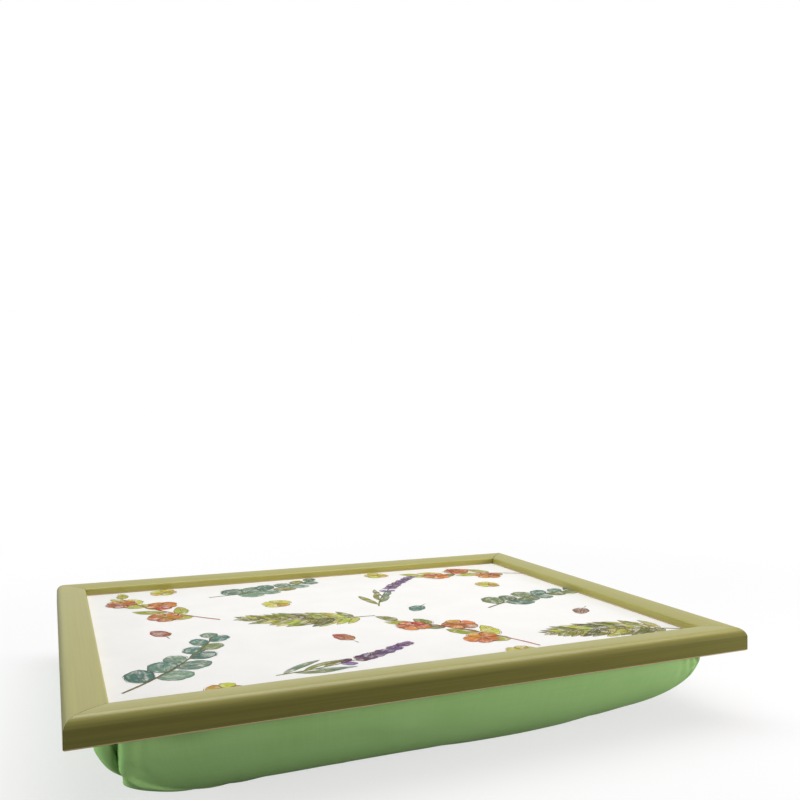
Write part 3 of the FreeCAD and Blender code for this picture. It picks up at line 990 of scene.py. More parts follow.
    def flower(self, places: Array, petal: float, *pigments: Pigment) -> None:
        """Five-petalled flowers with a dotted centre.

        Args:
            places: Centres of the flowers.
            petal: Length of a petal.
            pigments: Colours of the petals.
        """
        count, total = len(places), len(places) * self.petals
        centres = np.repeat(places, self.petals, axis=0)
        start = self.random.uniform(0, 2 * math.pi, (count, 1))
        fan = np.arange(self.petals) * 2 * math.pi / self.petals
        angle = (start + fan + self.vary(total, 0.07).reshape(count, self.petals)).ravel()
        way = heading(angle)
        length = petal * (1 + self.vary(total, 0.07))
        self.grow(Blades(
            root=centres + way * petal * 0.12,
            angle=angle,
            length=length,
            half_width=length * 0.5,
            bend=self.vary(total, 0.12),
            belly=np.full(total, 0.62),
            wash=self.washes(total, *pigments),
            tier=1,
        ), veins=0)
        reach = np.linspace(0.15, 0.62, self.stroke_points)[None, :, None]
        nerves = centres[:, None] + way[:, None] * reach * length[:, None, None]
        self.pen(nerves, self.nerve_pen, tier=1)
        number = np.arange(self.seeds)
        offset = heading(number * self.seed_turn) * (petal * 0.05 * np.sqrt(number + 0.4))[:, None]
        dots = (places[:, None] + offset[None]).reshape(-1, 2)
        total = len(dots)
        self.grow(Blades(
            root=dots - np.array([0.06, 0]) * petal,
            angle=np.zeros(total),
            length=np.full(total, petal * 0.14),
            half_width=np.full(total, petal * 0.06),
            bend=np.zeros(total),
            belly=np.full(total, 0.5),
            wash=self.washes(total, Pigment.OCHRE, Pigment.RUST),
            tier=2,
        ), veins=0, outline=0.0)

    def leaves_along(
        self,
        stem: Stem,
        shares: Array,
        spread: float,
        length: Array,
        slender: float,
        belly: float,
        pigments: Sequence[Pigment],
        veins: int = 3,
        outline: float = PEN,
    ) -> None:
        """Leaves that stand out from a stem to the left and right by turns.

        Args:
            stem: The stem's shares, points and directions.
            shares: Where each leaf leaves the stem.
            spread: Angle from the stem, in radians.
            length: Length of each leaf.
            slender: Half width as a share of the length.
            belly: Where a leaf is widest.
            pigments: Colours of the leaves.
            veins: Side veins on each half of a leaf.
            outline: Half width of the pen.
        """
        count = len(shares)
        share, line, turn = stem
        side = np.where(np.arange(count) % 2 == 0, 1.0, -1.0)
        lean = side * spread * (1.08 - 0.35 * shares) + self.vary(count, 0.09)
        self.grow(Blades(
            root=line_at(shares, share, line),
            angle=np.interp(shares, share, turn) + lean,
            length=length * (1 + self.vary(count, 0.06)),
            half_width=length * slender * (1 + self.vary(count, 0.08)),
            bend=-side * 0.45 + self.vary(count, 0.2),
            belly=np.full(count, belly),
            wash=self.washes(count, *pigments),
        ), veins, outline)

    def eucalyptus(self, sprig: Sprig) -> None:
        """A stem with broad round leaves."""
        stem = self.stem(sprig, 0.55 * self.unit, Pigment.STEM)
        shares = np.linspace(0.16, 0.97, 11)
        length = (21 - 9 * shares) * self.unit
        greens = (Pigment.TEAL, Pigment.GREY_GREEN, Pigment.OLIVE)
        self.leaves_along(stem, shares, 0.95, length, slender=0.36, belly=0.52, pigments=greens)

    def fern(self, sprig: Sprig) -> None:
        """A frond with many small leaflets."""
        stem = self.stem(sprig, 0.42 * self.unit, Pigment.DARK_OLIVE)
        shares = np.linspace(0.14, 0.99, 30)
        length = (19 * np.sin(math.pi * (0.16 + 0.8 * shares)) ** 0.9 + 2) * self.unit
        greens = (Pigment.OLIVE, Pigment.PALE_OLIVE, Pigment.DARK_OLIVE, Pigment.LIME)
        self.leaves_along(stem, shares, 1.12, length, slender=0.17, belly=0.38, pigments=greens, veins=0)

    def lavender(self, sprig: Sprig) -> None:
        """A spike of small florets over slender leaves."""
        stem = self.stem(sprig, 0.42 * self.unit, Pigment.OLIVE)
        shares = np.linspace(0.04, 0.3, 5)
        length = (30 - 34 * shares) * self.unit
        greens = (Pigment.GREY_GREEN, Pigment.OLIVE)
        self.leaves_along(stem, shares, 0.5, length, slender=0.075, belly=0.5, pigments=greens, veins=0)
        whorls = np.repeat(np.concatenate([[0.44], np.linspace(0.55, 0.98, 9)]), 6)
        length = np.full(len(whorls), 7.4 * self.unit) * (1.12 - 0.42 * whorls)
        plums = (Pigment.PLUM, Pigment.VIOLET, Pigment.VIOLET)
        jitter = np.clip(whorls + self.vary(len(whorls), 0.012), 0, 1)
        self.leaves_along(stem, jitter, 0.9, length, 0.27, 0.6, plums, veins=0, outline=0.09 * self.unit)

    def blossom(self, sprig: Sprig) -> None:
        """A twig with broad pointed leaves and warm five-petalled flowers."""
        stem = self.stem(sprig, 0.6 * self.unit, Pigment.RUST)
        shares = np.linspace(0.2, 0.98, 8)
        length = (24 - 8 * shares) * self.unit
        greens = (Pigment.OLIVE, Pigment.LIME, Pigment.PALE_OLIVE)
        self.leaves_along(stem, shares, 0.8, length, slender=0.23, belly=0.4, pigments=greens)
        share, line, turn = stem
        spots = np.array([0.34, 0.6, 0.84])
        stalks = np.array([9.0, -8.0, 6.5])[:, None] * self.unit
        middle = line_at(spots, share, line)
        places = middle + left_of(heading(np.interp(spots, share, turn))) * stalks
        reach = np.linspace(0, 1, self.stroke_points)[None, :, None]
        self.pen(middle[:, None] * (1 - reach * 0.4) + places[:, None] * reach * 0.4, 0.3 * self.unit)
        self.flower(places, 9.2 * self.unit, Pigment.ORANGE, Pigment.RUST, Pigment.ORANGE)

    def single_flower(self, sprig: Sprig) -> None:
        """One small yellow flower."""
        self.flower(np.array([sprig.place]), sprig.length / 2, Pigment.LIME, Pigment.OCHRE)

    def single_leaf(self, sprig: Sprig) -> None:
        """One fallen round leaf with its stalk."""
        way = heading(np.array([sprig.angle]))
        root = np.array([sprig.place]) - way * sprig.length / 2
        reach = np.linspace(-0.35, 0.05, self.stroke_points)[None, :, None]
        self.pen(root[:, None] + way[:, None] * reach * sprig.length, 0.24 * self.unit)
        self.grow(Blades(
            root=root,
            angle=np.array([sprig.angle]),
            length=np.array([sprig.length]),
            half_width=np.array([sprig.length * 0.3]),
            bend=np.array([sprig.bend]),
            belly=np.array([0.45]),
            wash=self.washes(1, Pigment.PLUM, Pigment.RUST, Pigment.TEAL),
        ))

    def layout(self) -> list[tuple[Motif, Sprig]]:
        """Half-drop repeat: columns of sprigs, each column half a step below its neighbour, with small
        flowers and leaves in the gaps.

        Returns:
            Motifs and where they stand.
        """
        order = (Motif.EUCALYPTUS, Motif.BLOSSOM, Motif.LAVENDER, Motif.FERN)
        placed: list[tuple[Motif, Sprig]] = []
        for column in range(self.columns):
            x = (column - (self.columns - 1) / 2) * self.column_step
            drop = self.drops[column % 2]
            for row, share in enumerate(drop.rows):
                kind = order[(2 * column + row + column // 2) % len(order)]
                lean = drop.leans[(row + column // 2) % 2]
                spot = (x, share * self.row_step)
                placed.append((kind, Sprig(spot, lean, drop.length * self.unit, self.sprig_bends[row % 2])))
            for gap, share in enumerate(drop.gaps):
                kind = Motif.SINGLE_FLOWER if (gap + column) % 2 == 0 else Motif.SINGLE_LEAF
                spot = (x + self.gap_slips[gap % 2], share * self.row_step)
                angle = self.gap_angle + gap + column
                placed.append((kind, Sprig(spot, angle, self.gap_length * self.unit, self.gap_bend)))
        return placed

    def patches(
        self,
        name: str,
        flat: Array,
        groups: Sequence[Union[Blades, Strokes]],
        pen: int,
        uv: Optional[Array] = None,
    ) -> Piece:
        """All blades, or all strokes, as one piece of flat patches that end at the sheet's edge.

        Each patch lies a hair above the last, tier by tier, with the pen lines of a tier over its washes.

        Args:
            name: The piece's name.
            flat: Points in the plane, by patch, row and column.
            groups: The blades or strokes that the patches come from.
            pen: 0 for washes, 1 for pen lines.
            uv: A pair for each point.

        Returns:
            The piece.
        """
        count, rows, columns = flat.shape[:3]
        points = rows * columns
        layer = [
            self.layers * (2 * group.tier + pen) + np.arange(len(group.wash)) % self.layers
            for group in groups
        ]
        height = float(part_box("clear_laminate")[1][2])
        level = height + self.lift + self.layer_step * np.concatenate(layer)
        edge = np.array(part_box("printed_sheet")[1])[:2] - self.trim
        places = np.empty((count, rows, columns, 3))
        places[..., :2] = np.clip(flat, -edge, edge)
        places[..., 2] = level[:, None, None]
        first = np.arange(count)[:, None, None] * points
        faces = quads(np.arange(points).reshape(rows, columns))[:, ::-1] + first
        piece = new_piece(name, places, faces.reshape(-1, 4), uv)
        wash = np.concatenate([group.wash for group in groups])
        give_attribute(piece, "wash", np.repeat(wash, points, axis=0))
        return piece

    def paint(self) -> Piece:
        """The washes of all blades.

        Returns:
            The piece.
        """
        shares = np.linspace(0, 1, self.blade_steps)
        across = np.linspace(-1, 1, self.blade_columns)
        flat = np.concatenate([blades.surface(shares, across) for blades in self.blades])
        s, t = np.meshgrid(shares, (across + 1) / 2, indexing="ij")
        run = s.ravel() + self.random.uniform(0, 40, (len(flat), 1)).round()
        uv = np.stack([run, np.broadcast_to(t.ravel(), run.shape)], axis=-1)
        return self.patches("print_washes", flat, self.blades, 0, uv)

    def draw_lines(self) -> Piece:
        """All strokes as narrow ribbons: each point moved left and right by the half width.

        Returns:
            The piece.
        """
        lines = np.concatenate([strokes.lines for strokes in self.strokes])
        widths = np.concatenate([strokes.half_width for strokes in self.strokes])
        way = np.gradient(lines, axis=1)
        way /= np.maximum(np.linalg.norm(way, axis=2, keepdims=True), 1e-9)
        side = left_of(way) * widths[..., None]
        return self.patches("print_lines", np.stack([lines + side, lines - side], axis=2), self.strokes, 1)

    def sheet(self) -> Piece:
        """The sheet under its film: a thin slab with a fine grid on its face.

        Returns:
            The piece.
        """
        low = np.array(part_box("printed_sheet")[0])
        high = np.array(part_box("clear_laminate")[1])
        x = np.linspace(low[0], high[0], self.sheet_columns)
        y = np.linspace(low[1], high[1], self.sheet_rows)
        grid_y, grid_x = np.meshgrid(y, x, indexing="ij")
        top = np.stack([grid_x, grid_y, np.full_like(grid_x, high[2])], axis=-1).reshape(-1, 3)
        under = top * np.array([1, 1, 0]) + np.array([0, 0, low[2]])
        number = np.arange(len(top)).reshape(grid_x.shape)
        rim = np.concatenate([number[0, :-1], number[:-1, -1], number[-1, :0:-1], number[:0:-1, 0]])
        follower = np.roll(rim, -1)
        wall = np.stack([rim + len(top), follower + len(top), follower, rim], axis=1)
        faces = np.concatenate([quads(number), quads(number + len(top))[:, ::-1], wall])
        return new_piece("print_sheet", np.concatenate([top, under]), faces, sharp_angle=40.0)

    def build(self) -> None:
        """Print the sheet and draw every motif on it."""
        sight = np.array([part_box("right_rail")[0][0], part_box("back_rail")[0][1]]) - self.margin
        paper = PrintedPaper(*sight.tolist())
        sheet = dress(self.sheet(), paper, "print", "printed_sheet", "clear_laminate")
        for motif, sprig in self.layout():
            getattr(self, motif.value)(sprig)
        dress(self.paint(), Watercolour(), "print")
        dress(self.draw_lines(), PenLine(), "print")
        LOG.info("%s carries %d strokes", sheet.name, sum(len(strokes.lines) for strokes in self.strokes))


@dataclass(frozen=True)
class Band:
    """A range, in millimetres, at whose two ends an effect comes in and goes out smoothly."""

    top: float
    full_top: float
    full_bottom: float
    bottom: float

    def fade(self, value: Array) -> Array:
        """Rise from the upper end alone."""
        return smooth_step(self.top * MM, self.full_top * MM, value)

    def at(self, value: Array) -> Array:
        """Share of the effect, from 0 to 1."""
        return self.fade(value) * smooth_step(self.bottom * MM, self.full_bottom * MM, value)


@dataclass(frozen=True)
class Hump:
    """A Gaussian bump, with its centre and width in millimetres."""

    height: float
    centre: float
    width: float

    def at(self, value: Array) -> Array:
        """Height of the bump, height exp(-((value - centre) / width)²)."""
        return self.height * np.exp(-(((value - self.centre * MM) / (self.width * MM)) ** 2))


@dataclass(frozen=True)
class Tuck:
    """How the slack at one corner of the cover is laid: a pleat, with small gathers beside it.

    Attributes:
        inset: Where the pleat lies along the lapping side, from the collar's corner.
        lap: 1 where the side after the corner laps over the side before it, -1 the other way.
        depth: Depth of the pleat.
        gather: Height of the gathers at the frame.
        ease: How far the whole corner is drawn in.
        slack: How fully the corner opens out to the waist and floor radii.
        lobe: How far the underside of the lobe under the lap comes up.
    """

    inset: float
    lap: int
    depth: float
    gather: float
    ease: float
    slack: float
    lobe: float


@dataclass(frozen=True)
class Drape:
    """How a tuck moves the cloth, by height and by distance round the cover from the pleat.

    Heights of humps are shares of a tuck's depth, ease or lobe, and the lobe is the cloth under its lap.
    """

    hanging: Band = Band(47, 43, 9, 0.5)
    eased: Band = Band(46, 43, 4, -2)
    neck: Hump = Hump(0.9, 42, 6)
    at_frame: Band = Band(46.5, 44.5, 43, 20)
    ease_reach: Hump = Hump(1.0, 0, 17)
    lobe: Band = Band(2, -5, -20, -75)
    lobe_fall: tuple[float, float, float] = (0.45, -3 * MM, -20 * MM)
    lobe_edge: Hump = Hump(0.28, 0, 12)
    dent: Hump = Hump(0.42, 26, 13)
    dent_level: Hump = Hump(1.0, 42, 8)
    draw_back: Hump = Hump(1.0, -2, 18)
    lip: Hump = Hump(1.0, 0, 1.5)
    slope: float = 6.0 * MM
    slope_power: float = 1.3
    roll: Hump = Hump(0.14, 5.0, 3.5)
    overlap: Hump = Hump(0.3, 2.2, 2.0)
    gathers: Hump = Hump(1.0, 9, 15)
    gather_pitch: float = 7.5 * MM
    gather_phase: float = 1.0

    def lift(self, tuck: Tuck, t: Array) -> Array:
        """How far the underside comes up at the lobe.

        Args:
            tuck: How the corner is laid.
            t: Distance from the pleat; positive on the lapping side.

        Returns:
            The lift at full depth.
        """
        least, start, end = self.lobe_fall
        grown = self.lobe.at(t) * (least + (1 - least) * smooth_step(start, end, t))
        return tuck.lobe * (grown + self.lobe_edge.at(t) * (1 - self.lobe.fade(t)))

    def out(self, tuck: Tuck, t: Array, level: Array) -> Array:
        """How far the cover goes out, or in where negative.

        The cloth goes in by depth exp(-(t / lip)²) on the lapping side and by depth exp(-(|t| / slope)^1.3)
        on the other; the lapping edge rolls out, and gathers are a cosine of t that dies away.

        Args:
            tuck: How the corner is laid.
            t: Distance from the pleat; positive on the lapping side.
            level: Height of each ring.

        Returns:
            The move along the outward normal.
        """
        slope = np.exp(-((np.abs(t) / self.slope) ** self.slope_power))
        fold = self.roll.at(t) - np.where(t > 0, self.lip.at(t), slope)
        ease = self.ease_reach.at(t) * self.eased.at(level) * (1 + self.neck.at(level))
        flutes = np.cos(2 * math.pi * t / self.gather_pitch + self.gather_phase) * self.gathers.at(t)
        pleat = tuck.depth * fold * self.hanging.at(level)
        return pleat - tuck.ease * ease + tuck.gather * flutes * self.at_frame.at(level)


@dataclass
class BeadCushion:
    """The bead cushion: a slack cover gathered into the frame, its bead bag and the beads."""

    collar_radius: float = 6.0 * MM
    collar_ease: float = 0.8 * MM
    hem_drop: float = 0.1 * MM
    hem_turn: float = 0.5 * MM
    neck_height: float = 1.2 * MM
    waist_radius: float = 20.0 * MM
    floor_radius: float = 62.0 * MM
    bottom_radius: float = 25.0 * MM
    end_radius: float = 38.0 * MM
    bulge: float = 1.6 * MM
    frame_underside: float = 45.0 * MM
    slump_rise: float = 12.5 * MM
    slump_start: float = 15.0 * MM
    slump_run: float = 185.0 * MM
    slump_power: float = 2.1
    slump_back: float = 0.62
    slump_depth: float = 150.0 * MM
    left_rise: float = 0.7 * MM
    left_run: tuple[float, float] = (-150.0 * MM, -225.0 * MM)
    corner_steps: int = 26
    length_steps: int = 70
    depth_steps: int = 50
    crowding: float = 0.68
    hem_rings: int = 3
    side_rings: int = 11
    turn_rings: int = 14
    pressure: float = 4.0
    frames: int = 16
    held_below: float = 0.5 * MM
    cap: float = 4.0 * MM
    sag: float = 0.6 * MM
    tucks: tuple[Tuck, ...] = (
        Tuck(11 * MM, 1, 8.0 * MM, 0.2 * MM, 0.0, 0.36, 12.0 * MM),
        Tuck(2 * MM, -1, 2.4 * MM, 1.5 * MM, 3.4 * MM, 0.85, 0.0),
        Tuck(6 * MM, 1, 6.0 * MM, 0.6 * MM, 2.0 * MM, 0.7, 2.0 * MM),
        Tuck(9 * MM, -1, 7.0 * MM, 0.4 * MM, 0.0, 0.45, 6.0 * MM),
    )
    drape: Drape = Drape()
    floor_sweeps: int = 240
    bag_ease: float = 4.0 * MM
    bag_inset: float = 3.5 * MM
    bead_inset: float = 5.0 * MM

    def outline(self, half_x: Array, half_y: Array, radius: Array) -> Array:
        """Rounded rectangles, one for each level: four arcs of even steps joined by straight sides.

        At share u of a side stands the point u - k sin(2πu) / 2π, which crowds points near the corners.

        Args:
            half_x: Half length of each level.
            half_y: Half depth of each level.
            radius: Radius of each level and corner.

        Returns:
            Points by level and place, anticlockwise from the front-left corner's left end.
        """
        angle = np.linspace(0, math.pi / 2, self.corner_steps + 1)
        arcs = []
        for corner, (way_x, way_y) in enumerate(((-1, -1), (1, -1), (1, 1), (-1, 1))):
            reach = radius[:, corner]
            centre = np.stack([way_x * (half_x - reach), way_y * (half_y - reach)], axis=-1)
            turn = angle + (corner + 2) * math.pi / 2
            arcs.append(centre[:, None] + reach[:, None, None] * heading(turn))
        outline = []
        for corner, steps in enumerate((self.length_steps, self.depth_steps) * 2):
            arc, following = arcs[corner], arcs[(corner + 1) % 4]
            share = np.linspace(0, 1, steps + 1)[1:-1]
            share = (share - self.crowding * np.sin(2 * math.pi * share) / (2 * math.pi))[None, :, None]
            outline += [arc, arc[:, -1:] * (1 - share) + following[:, :1] * share]
        return np.concatenate(outline, axis=1)

    def levels(self) -> tuple[Array, Array, Array, Array]:
        """Sizes of the cover's rings from the hem in the frame down to the floor.

        Below the frame the sides swell by bulge sin(90° s) down to the widest level; then a quarter turn
        of bottom_radius leads to the floor while the corners open out to floor_radius.

        Returns:
            Half length, half depth, four corner radii and height of each ring.
        """
        hem_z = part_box("cushion_cover")[1][2] - self.hem_drop
        collar = np.array(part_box("base_board")[1]) + self.collar_ease
        share = np.linspace(0, 1, self.side_rings)
        turn = np.linspace(0, math.pi / 2, self.turn_rings + 1)[1:]
        swell = np.concatenate([
            [-self.hem_turn, 0, 0],
            self.bulge * np.sin(share * math.pi / 2),
            self.bulge - self.bottom_radius * (1 - np.cos(turn)),
        ])
        height = np.concatenate([
            [hem_z, hem_z - self.hem_turn, self.frame_underside + self.neck_height],
            self.frame_underside + (self.bottom_radius - self.frame_underside) * share,
            self.bottom_radius * (1 - np.sin(turn)),
        ])
        opening = np.concatenate([
            np.zeros(self.hem_rings),
            (self.waist_radius - self.collar_radius) * np.sin(share * math.pi / 2),
            self.waist_radius - self.collar_radius
            + (self.floor_radius - self.waist_radius) * (1 - np.cos(turn)),
        ])
        slack = np.array([tuck.slack for tuck in self.tucks])
        radius = self.collar_radius + opening[:, None] * slack
        end_turn = np.arcsin(np.clip(1 - height / self.end_radius, 0, 1))
        end_swell = self.bulge - self.end_radius * (1 - np.cos(end_turn))
        end_swell = np.where(height < self.end_radius, end_swell, swell)
        return collar[0] + np.minimum(end_swell, swell), collar[1] + swell, radius, height

    def slump(self, places: Array) -> Array:
        """Let the beads settle to the left: the underside rises smoothly towards the right-hand corners.

        A point at depth d below the frame comes up to d (1 - lift / depth), where lift grows as a power of
        the way to the right and is larger at the front.

        Args:
            places: Points of the bag.

        Returns:
            The points after settling.
        """
        x, y, z = places[..., 0], places[..., 1], places[..., 2]
        front = smooth_step(self.slump_depth, -self.slump_depth, y)
        front = self.slump_back + (1 - self.slump_back) * front
        reach = np.clip((x - self.slump_start) / self.slump_run, 0, None)
        right = self.slump_rise * reach**self.slump_power
        lift = right * front + self.left_rise * smooth_step(*self.left_run, x)
        depth = np.clip(self.frame_underside - z, 0, None)
        raised = self.frame_underside - depth * (1 - lift / self.frame_underside)
        settled = places.copy()
        settled[..., 2] = np.where(depth > 0, raised, z)
        return settled

    def patch(self, edge: Array, first: int, numbers: Array) -> tuple[Array, Array]:
        """Close a ring with a grid, as a transfinite patch.

        The patch is the sum of the two ruled surfaces between opposite edges less the bilinear surface of
        its corners, which lie half-way round the ring's rounded corners.

        Args:
            edge: Points of the ring.
            first: Number that the first inner point gets.
            numbers: Numbers of the ring's points.

        Returns:
            The inner points, and the point numbers of the whole grid.
        """
        start = self.corner_steps // 2
        across, deep = self.length_steps + self.corner_steps, self.depth_steps + self.corner_steps
        edge, numbers = np.roll(edge, -start, axis=0), np.roll(numbers, -start)

        def sides(ring: Array) -> tuple[Array, Array, Array, Array]:
            """Front, right, back and left runs of a ring, from left to right and front to back."""
            ring = np.concatenate([ring, ring[:1]])
            right, back = across + deep, 2 * across + deep
            runs = ring[: across + 1], ring[across : right + 1], ring[right : back + 1], ring[back:]
            return runs[0], runs[1], runs[2][::-1], runs[3][::-1]

        front, right, back, left = sides(edge)
        s = np.linspace(0, 1, across + 1)[None, :, None]
        t = np.linspace(0, 1, deep + 1)[:, None, None]
        ruled = (1 - t) * front[None] + t * back[None] + (1 - s) * left[:, None] + s * right[:, None]
        near = (1 - s) * front[0] + s * front[-1]
        far = (1 - s) * back[0] + s * back[-1]
        inner = (ruled - (1 - t) * near - t * far)[1:-1, 1:-1]
        grid = np.empty((deep + 1, across + 1), dtype=int)
        grid[0], grid[:, -1], grid[-1], grid[:, 0] = sides(numbers)
        grid[1:-1, 1:-1] = first + np.arange(inner.shape[0] * inner.shape[1]).reshape(inner.shape[:2])
        return inner.reshape(-1, 3), grid

    def base(self) -> tuple[Array, Array, Array]:
        """The bag before it is filled: rings from the hem to the floor, closed by a grid below and above.

        Returns:
            Points, faces, and cloth coordinates of each face corner.
        """
        half_x, half_y, radius, height = self.levels()
        flat = self.outline(half_x, half_y, radius)
        rings, points = flat.shape[:2]
        tall = np.broadcast_to(height[:, None, None], (rings, points, 1))
        ring_places = self.slump(np.concatenate([flat, tall], axis=-1))
        number = np.arange(rings * points).reshape(rings, points)
        floor, floor_grid = self.patch(ring_places[-1], rings * points, number[-1])
        top, top_grid = self.patch(ring_places[0], rings * points + len(floor), number[0])
        places = np.concatenate([ring_places.reshape(-1, 3), floor, top])

        waist = flat[self.hem_rings + self.side_rings // 2]
        round_way = run_length(np.concatenate([waist, waist[:1]]))
        down = run_length(ring_places[:, points // 8])
        cloth = np.stack(np.meshgrid(round_way, down), axis=-1)
        facing_out = [0, 3, 2, 1]
        side_faces = quads(closed(number))[:, facing_out]
        side_uv = quads(cloth)[:, facing_out].reshape(-1, 2)
        faces = np.concatenate([side_faces, quads(floor_grid)[:, ::-1], quads(top_grid)])
        flat_uv = places[faces[len(side_faces):].ravel()][:, :2]
        return places, faces, np.concatenate([side_uv, flat_uv])

    def fill(self, piece: Piece, rest: Array) -> Array:
        """Fill the bag: cloth under pressure, held at the frame, each point's way capped.

        Args:
            piece: The bag.
            rest: Its points before filling.

        Returns:
            Its points after filling.
        """
        held = np.flatnonzero(rest[:, 2] > self.frame_underside - self.held_below)
        group = piece.vertex_groups.new(name="held")
        group.add(held.tolist(), 1.0, "REPLACE")
        modifier = piece.modifiers.new("filling", "CLOTH")
        cloth = modifier.settings
        cloth.quality = 6
        cloth.mass = 0.3
        cloth.tension_stiffness = 12.0
        cloth.compression_stiffness = 12.0
        cloth.shear_stiffness = 4.0
        cloth.bending_stiffness = 1.5
        cloth.use_pressure = True
        cloth.uniform_pressure_force = self.pressure
        cloth.vertex_group_mass = group.name
        cloth.effector_weights.gravity = 0.0
        modifier.point_cache.frame_start = 1
        modifier.point_cache.frame_end = self.frames
        scene = bpy.context.scene
        for number in range(1, self.frames + 1):
            scene.frame_set(number)
        filled = read_points(piece.evaluated_get(bpy.context.evaluated_depsgraph_get()))
        piece.modifiers.remove(modifier)
        piece.vertex_groups.clear()
        scene.frame_set(1)
        move = filled - rest
        reach = np.linalg.norm(move, axis=1, keepdims=True)
        full = rest + move * (self.cap * np.tanh(reach / self.cap) / np.maximum(reach, 1e-9))
        full[:, 2] = np.minimum(full[:, 2], rest[:, 2] + self.sag)
        return full

    def lay_tucks(self, places: Array, inner: bool = False) -> Array:
        """Lay the slack of each corner in its pleat and gathers, below the frame and above the floor.

        The drape says how far each point moves at its distance t round the cover from a pleat. Where the
        edge of the floor moves, the floor follows it: each point takes the mean move of its four
        neighbours, sweep after sweep.

        Args:
            places: Points of the filled cover.
            inner: Lay the bag inside the cover instead, which only draws back from each pleat.

        Returns:
            The points with the corners laid.
        """
        half_x, half_y, radius, height = self.levels()
        flat = self.outline(half_x, half_y, radius)
        rings, points = flat.shape[:2]
        step = np.linalg.norm(np.diff(flat, axis=1, append=flat[:, :1]), axis=2)
        way_round = np.cumsum(step, axis=1) - step
        whole = step.sum(axis=1, keepdims=True)
        tangent = np.roll(flat, -1, axis=1) - np.roll(flat, 1, axis=1)
        tangent /= np.linalg.norm(tangent, axis=2, keepdims=True)
        level = height[:, None]
        out, along, lift = np.zeros((3, rings, points))
        runs = (self.length_steps, self.depth_steps) * 2
        starts = np.cumsum([0] + [self.corner_steps + run for run in runs])
        for corner, tuck in enumerate(self.tucks):
            middle = starts[corner] + self.corner_steps // 2
            reach = self.corner_steps + self.length_steps // 2
            side = np.sort((middle + tuck.lap * np.arange(reach)) % points)
            line = np.sign(flat[0, middle, 0]) * (half_x[1] - tuck.inset)
            pleat = np.array([
                np.interp(line, *(row[np.argsort(x)] for row in (x, way)))
                for x, way in zip(flat[:, side, 0], way_round[:, side])
            ])[:, None]
            t = ((way_round - pleat + whole / 2) % whole - whole / 2) * tuck.lap
            lift += self.drape.lift(tuck, t)
            out -= tuck.depth * self.drape.dent.at(t) * self.drape.dent_level.at(level)
            if inner:
                out -= (tuck.depth + 2 * tuck.ease + self.bag_ease) * self.drape.draw_back.at(t)
            else:
                out += self.drape.out(tuck, t, level)
                lapped = self.drape.overlap.at(t) * self.drape.hanging.at(level)
                along -= tuck.lap * tuck.depth * lapped
        laid = places.copy()
        sides = laid[: rings * points].reshape(rings, points, 3)
        depth = np.clip(self.frame_underside - sides[..., 2], 0, None)
        flat_move = along[..., None] * tangent - out[..., None] * left_of(tangent)
        move = np.concatenate([flat_move, (depth / self.frame_underside * lift)[..., None]], axis=-1)
        sides += move
        edge = np.arange((rings - 1) * points, rings * points)
        _, grid = self.patch(laid[edge], rings * points, edge)
        spread = np.zeros((*grid.shape, 3))
        spread[[0, -1]] = move[-1, grid[[0, -1]] % points]
        spread[:, [0, -1]] = move[-1, grid[:, [0, -1]] % points]
        for _ in range(self.floor_sweeps):
            spread[1:-1, 1:-1] = (
                spread[:-2, 1:-1] + spread[2:, 1:-1] + spread[1:-1, :-2] + spread[1:-1, 2:]
            ) / 4
        laid[grid[1:-1, 1:-1].ravel()] += spread[1:-1, 1:-1].reshape(-1, 3)
        return laid

    def drawn_in(self, places: Array, inset: float) -> Array:
        """Draw the bag in from the cover, and end it below the cushion's board.

        Plan coordinates shrink about the middle by the inset; heights run from it to just under the board.

        Args:
            places: Points of the bag.
            inset: How far it is drawn in.

        Returns:
            The points of the smaller bag.
        """
        half = np.abs(places[:, :2]).max(axis=0)
        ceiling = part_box("base_board")[0][2] - inset / 4
        shrunk = places.copy()
        shrunk[:, :2] *= 1 - inset / half
        shrunk[:, 2] = inset + places[:, 2] * (ceiling - inset) / places[:, 2].max()
        return shrunk

    def build(self) -> None:
        """Make the cover, fill it, lay its corners and put the bead bag and the beads into it."""
        rest, faces, uv = self.base()
        cover = new_piece("cushion_cover_cloth", rest, faces, uv)
        filled = self.fill(cover, rest)
        filled[:, 2] = np.maximum(filled[:, 2], 0.0)
        write_points(cover, self.lay_tucks(filled))
        smooth = cover.modifiers.new("smooth", "SUBSURF")
        smooth.levels = smooth.render_levels = 1
        smooth.use_limit_surface = False
        dress(cover, CoverCloth(), "cover_cloth", "cushion_cover")

        inside = self.lay_tucks(filled, inner=True)
        lining = new_piece("bead_bag", self.drawn_in(inside, self.bag_inset), faces)
        dress(lining, LinerCloth(), "liner_cloth", "liner_pouch", "liner_panel")
        beads = new_piece("foam_bead_fill", self.drawn_in(inside, self.bead_inset), faces)
        dress(beads, FoamBeads(), "beads", "bead_filling")


@dataclass
class HiddenParts:
    """Boards and steel that keep their CAD shape and get their finish."""

    tray_board: Fibreboard = Fibreboard("tray_fibreboard", swatch(182, 152, 112), swatch(146, 116, 82))
    base_board: Fibreboard = Fibreboard("base_hardboard", swatch(122, 88, 58), swatch(88, 62, 42))
    steel: BrightSteel = BrightSteel()

    def build(self) -> None:
        """Dress each node that no new piece stands for."""
        finishes = {"tray_board": self.tray_board, "base_board": self.base_board}
        for name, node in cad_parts.items():
            if node.hide_render:
                continue
            node.data.materials.clear()
            node.data.materials.append(finishes.get(name, self.steel).material())
            LOG.info("%s keeps its CAD shape", name)


